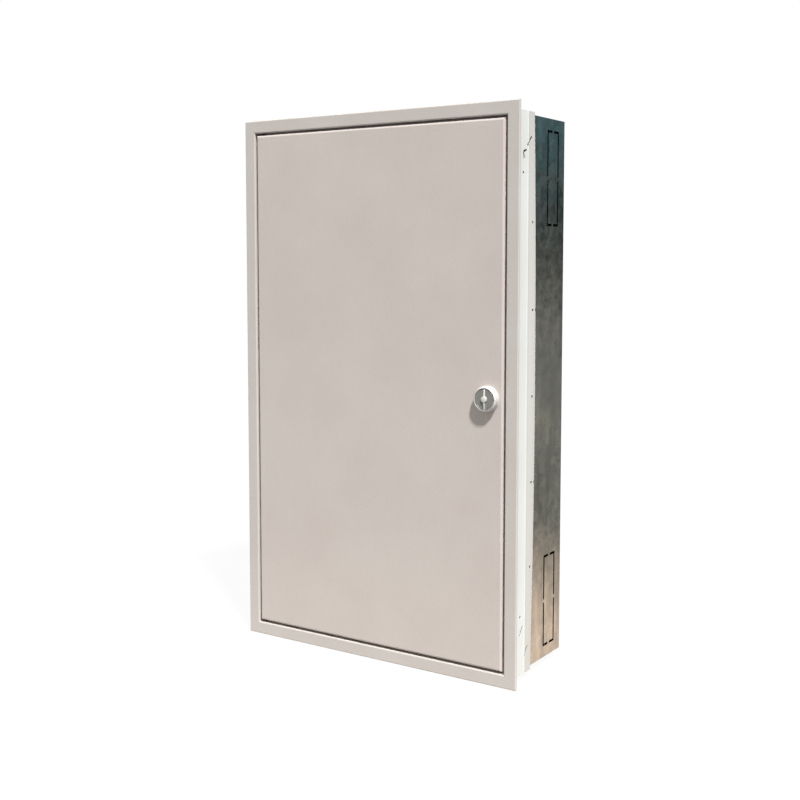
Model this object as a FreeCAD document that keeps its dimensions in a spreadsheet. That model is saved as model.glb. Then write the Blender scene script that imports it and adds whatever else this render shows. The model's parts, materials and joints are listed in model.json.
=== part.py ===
import FreeCAD, Part
import math
import os
import re

import Sketcher

# Flush-mounted steel wall enclosure for rail-mounted devices, in millimetres.
# The origin is the centre of the trough's back, where it is fixed to the wall: +X is to the right
# of someone who faces the door, +Z is up and the front faces -Y. Depths written as "off the wall"
# are measured from that back plane towards the front.

SIZES = {
    # Trim frame, the visible flange round the door, folded from one sheet.
    "frame_width": 594,
    "frame_height": 1000,
    "overall_depth": 205,
    "frame_sheet": 1.5,
    "face_width": 23.75,
    "frame_return": 4,
    "rebate_depth": 20,
    "stop_lip": 14,
    "frame_edge_radius": 2,
    "opening_edge_radius": 2.5,
    # Door, a tray with a returned and hemmed edge.
    "door_gap": 4.5,
    "door_sheet": 1.5,
    "door_depth": 14,
    "door_hem": 10,
    "door_edge_radius": 4,
    "stiffener_inset": 159.5,
    "stiffener_width": 44,
    "stiffener_crown": 26,
    "stiffener_depth": 9,
    "stiffener_sheet": 1,
    "stiffener_margin": 32,
    # Collar behind the trim frame, which slides over the trough.
    "collar_inset": 13,
    "collar_sheet": 1,
    "collar_reach": 80,
    "collar_fold": 56,
    "collar_bow": 5,
    "collar_hole_radius": 2.4,
    "collar_hole_reach": 70,
    "collar_hole_margin": 187,
    "collar_notch_radius": 3,
    "collar_tab_hole_reach": 39,
    "collar_tab_hole_inset": 104,
    "collar_slot_radius": 1.9,
    # Trough, the folded back box that is built into the wall.
    "trough_clearance": 3,
    "trough_sheet": 1,
    "trough_setback": 30,
    "trough_edge_radius": 1.5,
    "knockout_length": 168,
    "knockout_width": 45,
    "knockout_margin": 20,
    "knockout_off_wall": 24,
    "knockout_slot": 4.5,
    "knockout_bridge": 6,
    "top_knockout_gap": 102,
    "wall_hole_inset_across": 60,
    "wall_hole_inset_up": 53,
    "wall_hole_radius": 4,
    # Depth adjusters between the trim frame and the trough.
    "adjuster_inset": 80,
    "adjuster_leg_reach": 45,
    "adjuster_width": 24,
    "adjuster_foot": 20,
    "adjuster_leg": 22,
    "adjuster_sheet": 1.5,
    "adjuster_hole_radius": 3.2,
    "adjuster_screw_radius": 2.5,
    "adjuster_screw_length": 60,
    "adjuster_head_radius": 4.75,
    "adjuster_head_height": 3,
    "adjuster_lip_hole_radius": 2.75,
    "adjuster_nut_size": 9,
    "adjuster_nut_height": 4,
    "thread_clearance": 0.1,
    # Door buffers and strike on the stop lip.
    "buffer_radius": 4,
    "buffer_stem_radius": 1.9,
    "buffer_stem_length": 4,
    "buffer_inset": 75.5,
    "top_buffer_inset": 172.5,
    "rest_gap": 0.3,
    "strike_sheet": 1.2,
    "strike_height": 60,
    "strike_width": 12,
    "strike_rivet_place": 22,
    "strike_rivet_radius": 1.5,
    "strike_rivet_head_radius": 3,
    "strike_rivet_head_height": 1,
    # Hinge at the left, a loose pin at the top and at the bottom.
    "hinge_inset": 4.5,
    "hinge_reach": 6.2,
    "pin_radius": 2,
    "pin_clearance": 0.05,
    "pin_length": 30,
    "pin_handle": 18,
    "pin_stand_out": 8,
    "bush_radius": 3.5,
    "bush_flange_radius": 4.5,
    "hinge_plate_width": 28,
    "hinge_plate_depth": 13,
    "hinge_plate_sheet": 2,
    "hinge_ear_drop": 14,
    "hinge_bracket_width": 20,
    "hinge_bracket_height": 24,
    "hinge_bracket_depth": 9,
    "hinge_bracket_sheet": 1.2,
    # Quarter-turn lock.
    "lock_inset": 29.9,
    "lock_base_radius": 22.5,
    "lock_base_height": 1.6,
    "lock_rim_radius": 22,
    "lock_height": 12,
    "lock_rim": 3,
    "lock_rim_chamfer": 2.2,
    "lock_recess": 3.2,
    "lock_barrel_radius": 11,
    "lock_barrel_length": 20,
    "lock_hole_clearance": 0.2,
    "lock_nut_size": 28,
    "lock_nut_height": 5,
    "lock_disc_sink": 0.8,
    "lock_disc_clearance": 0.2,
    "spindle_radius": 5,
    "spindle_square": 7,
    "square_clearance": 0.1,
    "grip_width": 4.2,
    "grip_height": 1.2,
    "grip_margin": 1.2,
    "boss_radius": 5.3,
    "boss_height": 2,
    "cam_gap": 0.3,
    "cam_sheet": 3,
    "cam_reach": 28,
    "cam_width": 17,
    "cam_tip_width": 11,
    "cam_screw_radius": 2,
    "cam_screw_length": 10,
    "cam_screw_head_radius": 4,
    "cam_screw_head_height": 2.6,
    "cam_washer_radius": 6,
    "cam_washer_height": 1,
    # Device frame inside the trough.
    "side_gutter": 30,
    "upright_end_gap": 33,
    "upright_width": 30,
    "upright_depth": 20,
    "upright_sheet": 1.5,
    "upright_front": 77.5,
    "upright_hole_pitch": 25,
    "upright_hole_width": 6.2,
    "upright_hole_height": 12,
    "support_inset": 50,
    "support_width": 24,
    "support_foot": 30,
    "support_seat": 25,
    "support_sheet": 1.5,
    "rail_width": 35,
    "rail_crown": 27,
    "rail_depth": 7.5,
    "rail_sheet": 1,
    "rail_screw_radius": 2.5,
    "rail_screw_head_size": 8,
    "rail_screw_head_height": 3.5,
    "rail_screw_length": 12,
    "rail_nut_size": 10,
    "rail_nut_height": 4,
    # Earth stud on the trough's back.
    "earth_inset": 100,
    "earth_rise": 43,
    "earth_stud_radius": 3,
    "earth_stud_length": 25,
    "earth_washer_radius": 6,
    "earth_washer_height": 1.6,
    "earth_nut_size": 10,
    "earth_nut_height": 5,
}

RAILS = 6
COLLAR_HOLES = 5

# Small round parts and holes that repeat are drawn with this many sides, to keep the model light.
SIDES = 8

# Length of the tools that cut holes through the collar's bowed sides.
CUTTER_LENGTH = 20

# Slots in the collar's sides: each is a run of points, as depth behind the front and distance
# from the collar's top or bottom end.
TOP_COLLAR_SLOTS = [[(66, 43), (54, 57)], [(49, 66), (39, 69), (41, 79)]]
BOTTOM_COLLAR_SLOTS = [[(66, 46), (56, 32)], [(48, 85), (40, 72)]]

# Expressions that several pieces share.
OPENING_W = "(frame_width - 2 * face_width)"
OPENING_H = "(frame_height - 2 * face_width)"
DOOR_W = f"({OPENING_W} - 2 * door_gap)"
DOOR_H = f"({OPENING_H} - 2 * door_gap)"
COLLAR_W = "(frame_width - 2 * collar_inset)"
COLLAR_H = "(frame_height - 2 * collar_inset)"
TROUGH_W = f"({COLLAR_W} - 2 * collar_sheet - 2 * trough_clearance)"
TROUGH_H = f"({COLLAR_H} - 2 * collar_sheet - 2 * trough_clearance)"
TROUGH_D = "(overall_depth - trough_setback)"
FACE_BACK = "(overall_depth - frame_sheet)"
LIP_BACK = "(overall_depth - rebate_depth)"
LIP_FRONT = "(overall_depth - rebate_depth + frame_sheet)"
ADJUSTER_X = f"({TROUGH_W} / 2 - adjuster_inset)"
LIP_X = f"({OPENING_W} / 2 - stop_lip / 2)"
LIP_Z = f"({OPENING_H} / 2 - stop_lip / 2)"
DOOR_BACK = "(overall_depth - door_depth)"
DOOR_INSIDE = "(overall_depth - door_sheet)"
DOOR_INSIDE_RADIUS = "(door_edge_radius - door_sheet)"
HINGE_X = f"(hinge_inset - {DOOR_W} / 2)"
HINGE_D = "(overall_depth - hinge_reach)"
PIN_HOLE = "(pin_radius + pin_clearance)"
LOCK_X = f"({DOOR_W} / 2 - lock_inset)"
LOCK_FRONT = "(overall_depth + lock_height)"
LOCK_FLOOR = f"({LOCK_FRONT} - lock_recess)"
DISC_FRONT = f"({LOCK_FRONT} - lock_disc_sink)"
BARREL_BACK = "(overall_depth - lock_barrel_length)"
STRIKE_BACK = f"({LIP_BACK} - strike_sheet)"
CAM_FRONT = f"({STRIKE_BACK} - cam_gap)"
CAM_BACK = f"({CAM_FRONT} - cam_sheet)"
LEG_FRONT = "(overall_depth - adjuster_leg_reach)"
LEG_BACK = f"({LEG_FRONT} - adjuster_sheet)"
WEB_BACK = "(upright_front - upright_sheet)"
RAIL_L = f"({TROUGH_W} - 2 * side_gutter)"
UPRIGHT_X = f"({RAIL_L} / 2 - upright_width / 2)"
UPRIGHT_L = f"({TROUGH_H} - 2 * upright_end_gap)"
RAIL_FRONT = "(upright_front + rail_depth)"

doc = FreeCAD.newDocument("wall_enclosure")
dims = doc.addObject("Spreadsheet::Sheet", "Dims")
nodes = []


def fill_sheet():
    """Write each driving size into the sheet, with its name as alias."""
    for row, (name, size) in enumerate(SIZES.items(), start=1):
        dims.set(f"A{row}", name)
        dims.set(f"B{row}", str(size))
        dims.setAlias(f"B{row}", name)
    doc.recompute()


def bound(expression):
    """Put the sheet's name in front of each size in an expression."""
    return re.sub(
        r"[a-z_]+",
        lambda word: ("Dims." if word[0] in SIZES else "") + word[0],
        str(expression),
    )


def value(expression):
    return float(dims.evalExpression(bound(expression)))


def new_body(name):
    body = doc.addObject("PartDesign::Body", name)
    body.Label = name
    nodes.append(body)
    return body


def place(item, **expressions):
    """Bind the placement of a body: place(body, x="...", z="...")."""
    for axis, expression in expressions.items():
        item.setExpression(f"Placement.Base.{axis}", bound(expression))


def new_sketch(body, name, role, start="0"):
    """Attach a sketch to one of the body's origin planes, raised by start along its normal."""
    sketch = body.newObject("Sketcher::SketchObject", name)
    plane = next(item for item in body.Origin.OriginFeatures if item.Role == role)
    sketch.AttachmentSupport = [(plane, "")]
    sketch.MapMode = "FlatFace"
    sketch.setExpression("AttachmentOffset.Base.z", bound(start))
    return sketch


def fix_distance(sketch, kind, geometry, point, expression):
    """Hold one point of a sketch at a distance from the sketch's origin, across or up."""
    constraint = Sketcher.Constraint(kind, -1, 1, geometry, point, value(expression))
    index = sketch.addConstraint(constraint)
    sketch.setExpression(f"Constraints[{index}]", bound(expression))


def fix_point(sketch, geometry, point, across, up):
    fix_distance(sketch, "DistanceX", geometry, point, across)
    fix_distance(sketch, "DistanceY", geometry, point, up)


def draw_polygon(sketch, points):
    first = sketch.GeometryCount
    count = len(points)
    corners = [FreeCAD.Vector(value(across), value(up), 0) for across, up in points]
    ends = corners[1:] + corners[:1]
    sketch.addGeometry([Part.LineSegment(a, b) for a, b in zip(corners, ends)])
    sketch.addConstraint(
        [
            Sketcher.Constraint("Coincident", first + i, 2, first + (i + 1) % count, 1)
            for i in range(count)
        ]
    )
    for i, (across, up) in enumerate(points):
        fix_point(sketch, first + i, 1, across, up)


def draw_circle(sketch, across, up, radius):
    centre = FreeCAD.Vector(value(across), value(up), 0)
    circle = Part.Circle(centre, FreeCAD.Vector(0, 0, 1), value(radius))
    index = sketch.addGeometry(circle)
    fix_point(sketch, index, 3, across, up)
    size = sketch.addConstraint(Sketcher.Constraint("Radius", index, value(radius)))
    sketch.setExpression(f"Constraints[{size}]", bound(radius))


def draw(sketch, outlines):
    """An outline is a list of corner points, or a circle as (across, up, radius)."""
    for outline in outlines:
        if isinstance(outline, list):
            draw_polygon(sketch, outline)
        else:
            draw_circle(sketch, *outline)


def box(left, bottom, right, top):
    return [(left, bottom), (right, bottom), (right, top), (left, top)]


def centred(width, height):
    """A rectangle round the origin."""
    return box(f"-{width} / 2", f"-{height} / 2", f"{width} / 2", f"{height} / 2")


def many_sided(across, up, radius, sides):
    turn = 360 / sides
    return [
        (
            f"{across} + {radius} * cos({turn * k})",
            f"{up} + {radius} * sin({turn * k})",
        )
        for k in range(sides)
    ]


def small_round(across, up, radius):
    return many_sided(across, up, f"({radius})", SIDES)


def hexagon(across, up, size):
    """A hexagon of the given size across its flats."""
    return many_sided(across, up, f"{size} / sqrt(3)", 6)


def square(across, up, size):
    half = f"{size} / 2"
    return box(
        f"{across} - {half}", f"{up} - {half}", f"{across} + {half}", f"{up} + {half}"
    )


def prism(body, name, kind, role, start, length, outlines):
    """Pad or pocket what the outlines enclose, from start along the plane's normal.

    The front plane (XZ) has its normal towards the front, so start and length are off the wall.
    """
    sketch = new_sketch(body, f"{name}_outline", role, start)
    draw(sketch, outlines)
    feature = body.newObject(f"PartDesign::{kind}", name)
    feature.Profile = sketch
    feature.setExpression("Length", bound(length))
    feature.Reversed = kind == "Pocket"
    return feature


def slab(body, name, start, end, outlines, kind="Pad"):
    """A prism along the depth, from one distance off the wall to another."""
    return prism(body, name, kind, "XZ_Plane", start, f"{end} - {start}", outlines)


def revolve(body, name, profile):
    """Turn a profile of (radius, distance off the wall) points about the depth axis."""
    sketch = new_sketch(body, f"{name}_profile", "XY_Plane")
    draw(sketch, [[(radius, f"-({depth})") for radius, depth in profile]])
    feature = body.newObject("PartDesign::Revolution", name)
    feature.Profile = sketch
    feature.ReferenceAxis = (sketch, ["V_Axis"])
    feature.Angle = 360
    return feature


def round_edges(body, name, base, radius, wanted):
    """Fillet those edges of a feature whose ends all pass the test."""
    doc.recompute()
    picked = [
        f"Edge{i}"
        for i, edge in enumerate(base.Shape.Edges, start=1)
        if all(wanted(vertex.Point) for vertex in edge.Vertexes)
    ]
    fillet = body.newObject("PartDesign::Fillet", name)
    fillet.Base = (base, picked)
    fillet.setExpression("Radius", bound(radius))
    return fillet


def near(a, b, tolerance=0.01):
    return abs(a - b) < tolerance


def on_rim(depth, width, height):
    """A test for corners of a centred rectangle at a distance off the wall."""
    y = -value(depth)
    half_w = value(width) / 2
    half_h = value(height) / 2
    return lambda p: near(p.y, y) and near(abs(p.x), half_w) and near(abs(p.z), half_h)


def knockout(centre_u, centre_v, size_u, size_v):
    """The four L-shaped slots round a knockout, which leave a bridge in the middle of each side."""
    edge_u = f"{size_u} / 2"
    edge_v = f"{size_v} / 2"
    half_bridge = "knockout_bridge / 2"
    corner = [
        (edge_u, edge_v),
        (half_bridge, edge_v),
        (half_bridge, f"{edge_v} - knockout_slot"),
        (f"{edge_u} - knockout_slot", f"{edge_v} - knockout_slot"),
        (f"{edge_u} - knockout_slot", half_bridge),
        (edge_u, half_bridge),
    ]
    return [
        [(f"{centre_u} {su} ({u})", f"{centre_v} {sv} ({v})") for u, v in corner]
        for su in "+-"
        for sv in "+-"
    ]


def repeat(body, name, features, across, columns, up, rows):
    """Repeat features in columns and rows, over the given whole distances."""
    grid = body.newObject("PartDesign::LinearPattern", name)
    grid.Originals = features
    sketch = features[0].Profile[0]
    grid.Direction = (sketch, ["H_Axis"])
    grid.setExpression("Length", bound(across))
    grid.Occurrences = columns
    grid.Direction2 = (sketch, ["V_Axis"])
    grid.setExpression("Length2", bound(up))
    grid.Occurrences2 = rows
    body.Tip = grid


def screws(name, first, spread, seat, length, radius, head, head_height):
    """Screws along the depth, their heads seated on one plane, repeated from the first place."""
    body = new_body(name)
    shank = slab(
        body, f"{name}_shank", f"({seat} - {length})", seat, [small_round(*first, radius)]
    )
    top = slab(body, f"{name}_head", seat, f"({seat} + {head_height})", [head])
    repeat(body, f"{name}_grid", [shank, top], *spread)


def square_nuts(name, first, spread, front, height, size, bore):
    body = new_body(name)
    outlines = [square(*first, size), small_round(*first, bore)]
    blank = slab(body, f"{name}_blank", f"({front} - {height})", front, outlines)
    repeat(body, f"{name}_grid", [blank], *spread)


def make_trough():
    """Folded box, open to the front, with cable knockouts in its walls and back."""
    body = new_body("wall_trough")
    shell = slab(body, "trough_block", "0", TROUGH_D, [centred(TROUGH_W, TROUGH_H)])
    back_rim = on_rim("0", TROUGH_W, TROUGH_H)
    round_edges(body, "trough_folds", shell, "trough_edge_radius", back_rim)
    inside = centred(f"({TROUGH_W} - 2 * trough_sheet)", f"({TROUGH_H} - 2 * trough_sheet)")
    slab(body, "trough_inside", "trough_sheet", TROUGH_D, [inside], kind="Pocket")
    depth = "-(knockout_off_wall + knockout_width / 2)"
    height = f"({TROUGH_H} / 2 - knockout_margin - knockout_length / 2)"
    for word, sign in (("upper", ""), ("lower", "-")):
        outlines = knockout(depth, f"{sign}{height}", "knockout_width", "knockout_length")
        prism(
            body, f"{word}_side_knockouts", "Pocket", "YZ_Plane",
            f"-{TROUGH_W} / 2", TROUGH_W, outlines,
        )
        middle = f"{sign}(top_knockout_gap + knockout_length) / 2"
        outlines = knockout(middle, depth, "knockout_length", "knockout_width")
        prism(
            body, f"{word}_end_knockouts", "Pocket", "XY_Plane",
            f"-{TROUGH_H} / 2", TROUGH_H, outlines,
        )
    rear = knockout("0", height, "knockout_length", "knockout_width")
    slab(body, "rear_knockout", "0", "trough_sheet", rear, kind="Pocket")
    holes = [
        (
            f"{sx} * ({TROUGH_W} / 2 - wall_hole_inset_across)",
            f"{sz} * ({TROUGH_H} / 2 - wall_hole_inset_up)",
            "wall_hole_radius",
        )
        for sx in (-1, 1)
        for sz in (-1, 1)
    ]
    slab(body, "wall_holes", "0", "trough_sheet", holes, kind="Pocket")


def adjuster_places():
    return [(f"{sx} * {ADJUSTER_X}", f"{sz} * {LIP_Z}") for sx in (-1, 1) for sz in (-1, 1)]


def make_adjusters():
    """Brackets and nuts in the trough, and the screws that draw the trim frame towards them."""
    body = new_body("adjuster_brackets")
    wall = f"({TROUGH_H} / 2 - trough_sheet)"
    for side, sx in (("left", -1), ("right", 1)):
        for end, sz in (("bottom", -1), ("top", 1)):
            section = [
                (f"-{LEG_FRONT}", f"{sz} * {wall}"),
                (f"-{LEG_FRONT}", f"{sz} * ({wall} - adjuster_leg)"),
                (f"-{LEG_BACK}", f"{sz} * ({wall} - adjuster_leg)"),
                (f"-{LEG_BACK}", f"{sz} * ({wall} - adjuster_sheet)"),
                (f"-{LEG_BACK} + adjuster_foot", f"{sz} * ({wall} - adjuster_sheet)"),
                (f"-{LEG_BACK} + adjuster_foot", f"{sz} * {wall}"),
            ]
            prism(
                body, f"{side}_{end}_bracket", "Pad", "YZ_Plane",
                f"{sx} * {ADJUSTER_X} - adjuster_width / 2", "adjuster_width", [section],
            )
    holes = [small_round(x, z, "adjuster_hole_radius") for x, z in adjuster_places()]
    slab(body, "bracket_holes", LEG_BACK, LEG_FRONT, holes, kind="Pocket")
    first = adjuster_places()[0]
    spread = (f"2 * {ADJUSTER_X}", 2, f"2 * {LIP_Z}", 2)
    square_nuts(
        "adjuster_nuts", first, spread, LEG_BACK, "adjuster_nut_height",
        "adjuster_nut_size", "adjuster_screw_radius + thread_clearance",
    )
    head = many_sided(*first, "adjuster_head_radius", 2 * SIDES)
    screws(
        "adjusting_screws", first, spread, LIP_FRONT, "adjuster_screw_length",
        "adjuster_screw_radius", head, "adjuster_head_height",
    )


def upright_section(sign):
    """C section of an upright, open towards the wall."""
    left = f"{sign} * {UPRIGHT_X} - upright_width / 2"
    right = f"{sign} * {UPRIGHT_X} + upright_width / 2"
    back = "-(upright_front - upright_depth)"
    return [
        (left, "-upright_front"),
        (right, "-upright_front"),
        (right, back),
        (f"{right} - upright_sheet", back),
        (f"{right} - upright_sheet", f"-{WEB_BACK}"),
        (f"{left} + upright_sheet", f"-{WEB_BACK}"),
        (f"{left} + upright_sheet", back),
        (left, back),
    ]


def hole_rows(distance):
    """How many whole rows of the uprights' holes fit in a distance."""
    return int(value(f"({distance}) / upright_hole_pitch"))


def make_uprights():
    """Two perforated uprights that carry the rails."""
    last = hole_rows(f"{UPRIGHT_L} / 2 - upright_hole_height")
    for side, sign in (("left", -1), ("right", 1)):
        body = new_body(f"{side}_upright")
        prism(
            body, f"{side}_channel", "Pad", "XY_Plane",
            f"-{UPRIGHT_L} / 2", UPRIGHT_L, [upright_section(sign)],
        )
        lowest = f"-{last} * upright_hole_pitch"
        hole = box(
            f"{sign} * {UPRIGHT_X} - upright_hole_width / 2",
            f"{lowest} - upright_hole_height / 2",
            f"{sign} * {UPRIGHT_X} + upright_hole_width / 2",
            f"{lowest} + upright_hole_height / 2",
        )
        cut = slab(body, f"{side}_hole", WEB_BACK, "upright_front", [hole], kind="Pocket")
        repeat(
            body, f"{side}_hole_row", [cut], "upright_width", 1,
            f"{2 * last} * upright_hole_pitch", 2 * last + 1,
        )


def support_height():
    """The row of holes nearest to the ends that leaves room for the supports."""
    return f"({hole_rows(f'{UPRIGHT_L} / 2 - support_inset')} * upright_hole_pitch)"


def make_supports():
    """Z brackets from the trough's back to the uprights, with their screws and nuts."""
    body = new_body("upright_supports")
    height = support_height()
    for side, sx in (("left", -1), ("right", 1)):
        for end, sz in (("bottom", -1), ("top", 1)):
            web = f"({height} - support_seat / 2)"
            section = [
                ("-trough_sheet", f"{sz} * ({web} - support_foot)"),
                ("-trough_sheet", f"{sz} * {web}"),
                (f"-({WEB_BACK} - support_sheet)", f"{sz} * {web}"),
                (f"-({WEB_BACK} - support_sheet)", f"{sz} * ({web} + support_seat)"),
                (f"-{WEB_BACK}", f"{sz} * ({web} + support_seat)"),
                (f"-{WEB_BACK}", f"{sz} * ({web} - support_sheet)"),
                ("-(trough_sheet + support_sheet)", f"{sz} * ({web} - support_sheet)"),
                ("-(trough_sheet + support_sheet)", f"{sz} * ({web} - support_foot)"),
            ]
            prism(
                body, f"{side}_{end}_support", "Pad", "YZ_Plane",
                f"{sx} * {UPRIGHT_X} - support_width / 2", "support_width", [section],
            )
    holes = [
        small_round(f"{sx} * {UPRIGHT_X}", f"{sz} * {height}", "rail_screw_radius")
        for sx in (-1, 1)
        for sz in (-1, 1)
    ]
    slab(body, "support_holes", f"({WEB_BACK} - support_sheet)", WEB_BACK, holes, kind="Pocket")
    first = (f"-{UPRIGHT_X}", f"-{height}")
    spread = (f"2 * {UPRIGHT_X}", 2, f"2 * {height}", 2)
    screws(
        "support_screws", first, spread, "upright_front", "rail_screw_length",
        "rail_screw_radius", hexagon(*first, "rail_screw_head_size"), "rail_screw_head_height",
    )
    square_nuts(
        "support_nuts", first, spread, f"({WEB_BACK} - support_sheet)", "rail_nut_height",
        "rail_nut_size", "rail_screw_radius",
    )


def rail_rows():
    """The row of holes that each rail is screwed to, counted from the middle of the uprights."""
    pitch = hole_rows(f"{UPRIGHT_L} / {RAILS}")
    lowest = -((RAILS - 1) * pitch // 2)
    return [lowest + k * pitch for k in range(RAILS)]


def make_rails():
    """Top-hat rails across the uprights, with their screws and nuts."""
    rows = rail_rows()
    for number, row in enumerate(rows, start=1):
        body = new_body(f"din_rail_{number}")
        half = [
            ("rail_crown / 2", "-upright_front"),
            ("rail_crown / 2", f"-({RAIL_FRONT} - rail_sheet)"),
            ("rail_width / 2", f"-({RAIL_FRONT} - rail_sheet)"),
            ("rail_width / 2", f"-{RAIL_FRONT}"),
            ("rail_crown / 2 - rail_sheet", f"-{RAIL_FRONT}"),
            ("rail_crown / 2 - rail_sheet", "-(upright_front + rail_sheet)"),
        ]
        section = [(depth, up) for up, depth in half]
        section += [(depth, f"-({up})") for up, depth in reversed(half)]
        prism(
            body, f"rail_{number}", "Pad", "YZ_Plane", f"-{RAIL_L} / 2", RAIL_L, [section]
        )
        holes = [small_round(f"{sx} * {UPRIGHT_X}", "0", "rail_screw_radius") for sx in (-1, 1)]
        slab(
            body, f"rail_{number}_holes", "upright_front", "(upright_front + rail_sheet)", holes,
            kind="Pocket",
        )
        place(body, z=f"{row} * upright_hole_pitch")
    first = (f"-{UPRIGHT_X}", f"{rows[0]} * upright_hole_pitch")
    spread = (
        f"2 * {UPRIGHT_X}", 2, f"{rows[-1] - rows[0]} * upright_hole_pitch", len(rows)
    )
    screws(
        "rail_screws", first, spread, "(upright_front + rail_sheet)", "rail_screw_length",
        "rail_screw_radius", hexagon(*first, "rail_screw_head_size"), "rail_screw_head_height",
    )
    square_nuts(
        "rail_nuts", first, spread, WEB_BACK, "rail_nut_height",
        "rail_nut_size", "rail_screw_radius",
    )


def make_earth_stud():
    """Welded stud on the trough's back with its washer and nut."""
    washer_front = "(trough_sheet + earth_washer_height)"
    bore = many_sided("0", "0", "(earth_stud_radius + thread_clearance)", 2 * SIDES)
    stud = new_body("earth_stud")
    slab(
        stud, "stud_shank", "trough_sheet", "(trough_sheet + earth_stud_length)",
        [many_sided("0", "0", "earth_stud_radius", 2 * SIDES)],
    )
    washer = new_body("earth_washer")
    slab(
        washer, "stud_washer", "trough_sheet", washer_front,
        [many_sided("0", "0", "earth_washer_radius", 2 * SIDES), bore],
    )
    nut = new_body("earth_nut")
    slab(
        nut, "stud_nut", washer_front, f"({washer_front} + earth_nut_height)",
        [hexagon("0", "0", "earth_nut_size"), bore],
    )
    for body in (stud, washer, nut):
        place(body, x=f"{TROUGH_W} / 2 - earth_inset", z=f"earth_rise - {TROUGH_H} / 2")


def make_trim_frame():
    """One folded sheet: outer return, visible face, rebate round the door and stop lip."""
    body = new_body("trim_frame")
    outer = centred("frame_width", "frame_height")
    opening = centred(OPENING_W, OPENING_H)
    slab(body, "face", FACE_BACK, "overall_depth", [outer, opening])
    inside_return = centred("(frame_width - 2 * frame_sheet)", "(frame_height - 2 * frame_sheet)")
    slab(
        body, "outer_return", "(overall_depth - frame_return)", FACE_BACK, [outer, inside_return]
    )
    rebate = centred(f"({OPENING_W} + 2 * frame_sheet)", f"({OPENING_H} + 2 * frame_sheet)")
    slab(body, "rebate", LIP_BACK, FACE_BACK, [rebate, opening])
    lip = centred(f"({OPENING_W} - 2 * stop_lip)", f"({OPENING_H} - 2 * stop_lip)")
    last = slab(body, "lip", LIP_BACK, LIP_FRONT, [rebate, lip])
    outer_rim = on_rim("overall_depth", "frame_width", "frame_height")
    last = round_edges(body, "outer_fold", last, "frame_edge_radius", outer_rim)
    opening_rim = on_rim("overall_depth", OPENING_W, OPENING_H)
    round_edges(body, "opening_fold", last, "opening_edge_radius", opening_rim)
    holes = [small_round(x, z, "adjuster_lip_hole_radius") for x, z in adjuster_places()]
    holes += [small_round(x, z, "buffer_stem_radius") for x, z in buffer_places()]
    holes += [small_round(x, z, "strike_rivet_radius") for x, z in strike_rivet_places()]
    slab(body, "lip_holes", LIP_BACK, LIP_FRONT, holes, kind="Pocket")
    prism(
        body, "hinge_holes", "Pocket", "XY_Plane", f"-({OPENING_H} / 2 + frame_sheet)",
        f"{OPENING_H} + 2 * frame_sheet", [(HINGE_X, f"-{HINGE_D}", "bush_radius")],
    )


def collar_cutter(run, radius, side):
    """A rounded slot along a run of (reach, height) points, cut straight through a side."""
    inside = side * (value(f"{COLLAR_W} / 2") - CUTTER_LENGTH / 2)
    along = FreeCAD.Vector(side * CUTTER_LENGTH, 0, 0)
    front = -value("overall_depth")
    points = [FreeCAD.Vector(inside, front + reach, height) for reach, height in run]

    def punch(corners):
        return Part.Face(Part.makePolygon(corners + corners[:1])).extrude(along)

    def round_punch(centre):
        turns = [2 * math.pi * (k + 0.5) / SIDES for k in range(SIDES)]
        rim = [FreeCAD.Vector(0, math.cos(turn), math.sin(turn)) * radius for turn in turns]
        return punch([centre + spoke for spoke in rim])

    cutter = round_punch(points[0])
    for start, end in zip(points, points[1:]):
        across = (end - start).cross(along).normalize() * radius
        web = punch([start + across, end + across, end - across, start - across])
        cutter = cutter.fuse([web, round_punch(end)])
    return cutter


def make_collar_side(name, side):
    """A long side of the collar: a flat front strip and a rear strip whose free edge bows out."""
    inner = side * value(f"{COLLAR_W} / 2 - collar_sheet")
    half = value(f"{COLLAR_H} / 2")
    face_back = -value(FACE_BACK)
    fold = -value("overall_depth - collar_fold")
    rear = -value("overall_depth - collar_reach")
    thickness = FreeCAD.Vector(side * value("collar_sheet"), 0, 0)
    bow = side * value("collar_bow")

    def point(x, y, z):
        return FreeCAD.Vector(x, y, z)

    corners = [
        point(inner, face_back, -half),
        point(inner, fold, -half),
        point(inner, fold, half),
        point(inner, face_back, half),
        point(inner, face_back, -half),
    ]
    front_strip = Part.Face(Part.makePolygon(corners)).extrude(thickness)
    fold_line = Part.makeLine(point(inner, fold, -half), point(inner, fold, half))
    rear_arc = Part.Arc(
        point(inner, rear, -half), point(inner + bow, rear, 0), point(inner, rear, half)
    ).toShape()
    rear_strip = Part.makeRuledSurface(fold_line, rear_arc).extrude(thickness)
    shape = front_strip.fuse(rear_strip)
    reach = value("collar_hole_reach")
    last = half - value("collar_hole_margin")
    pitch = 2 * last / (COLLAR_HOLES - 1)
    cutters = [
        collar_cutter([(reach, k * pitch - last)], value("collar_hole_radius"), side)
        for k in range(COLLAR_HOLES)
    ]
    for sign, slots in ((1, TOP_COLLAR_SLOTS), (-1, BOTTOM_COLLAR_SLOTS)):
        notch = [(value("collar_reach"), sign * pitch)]
        height = sign * (half - value("collar_tab_hole_inset"))
        tab_hole = [(value("collar_tab_hole_reach"), height)]
        cutters.append(collar_cutter(notch, value("collar_notch_radius"), side))
        cutters.append(collar_cutter(tab_hole, value("collar_hole_radius"), side))
        for slot in slots:
            run = [(depth, sign * (half - from_end)) for depth, from_end in slot]
            cutters.append(collar_cutter(run, value("collar_slot_radius"), side))
    feature = doc.addObject("Part::Feature", name)
    feature.Label = name
    feature.Shape = shape.cut(cutters)
    nodes.append(feature)


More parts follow.
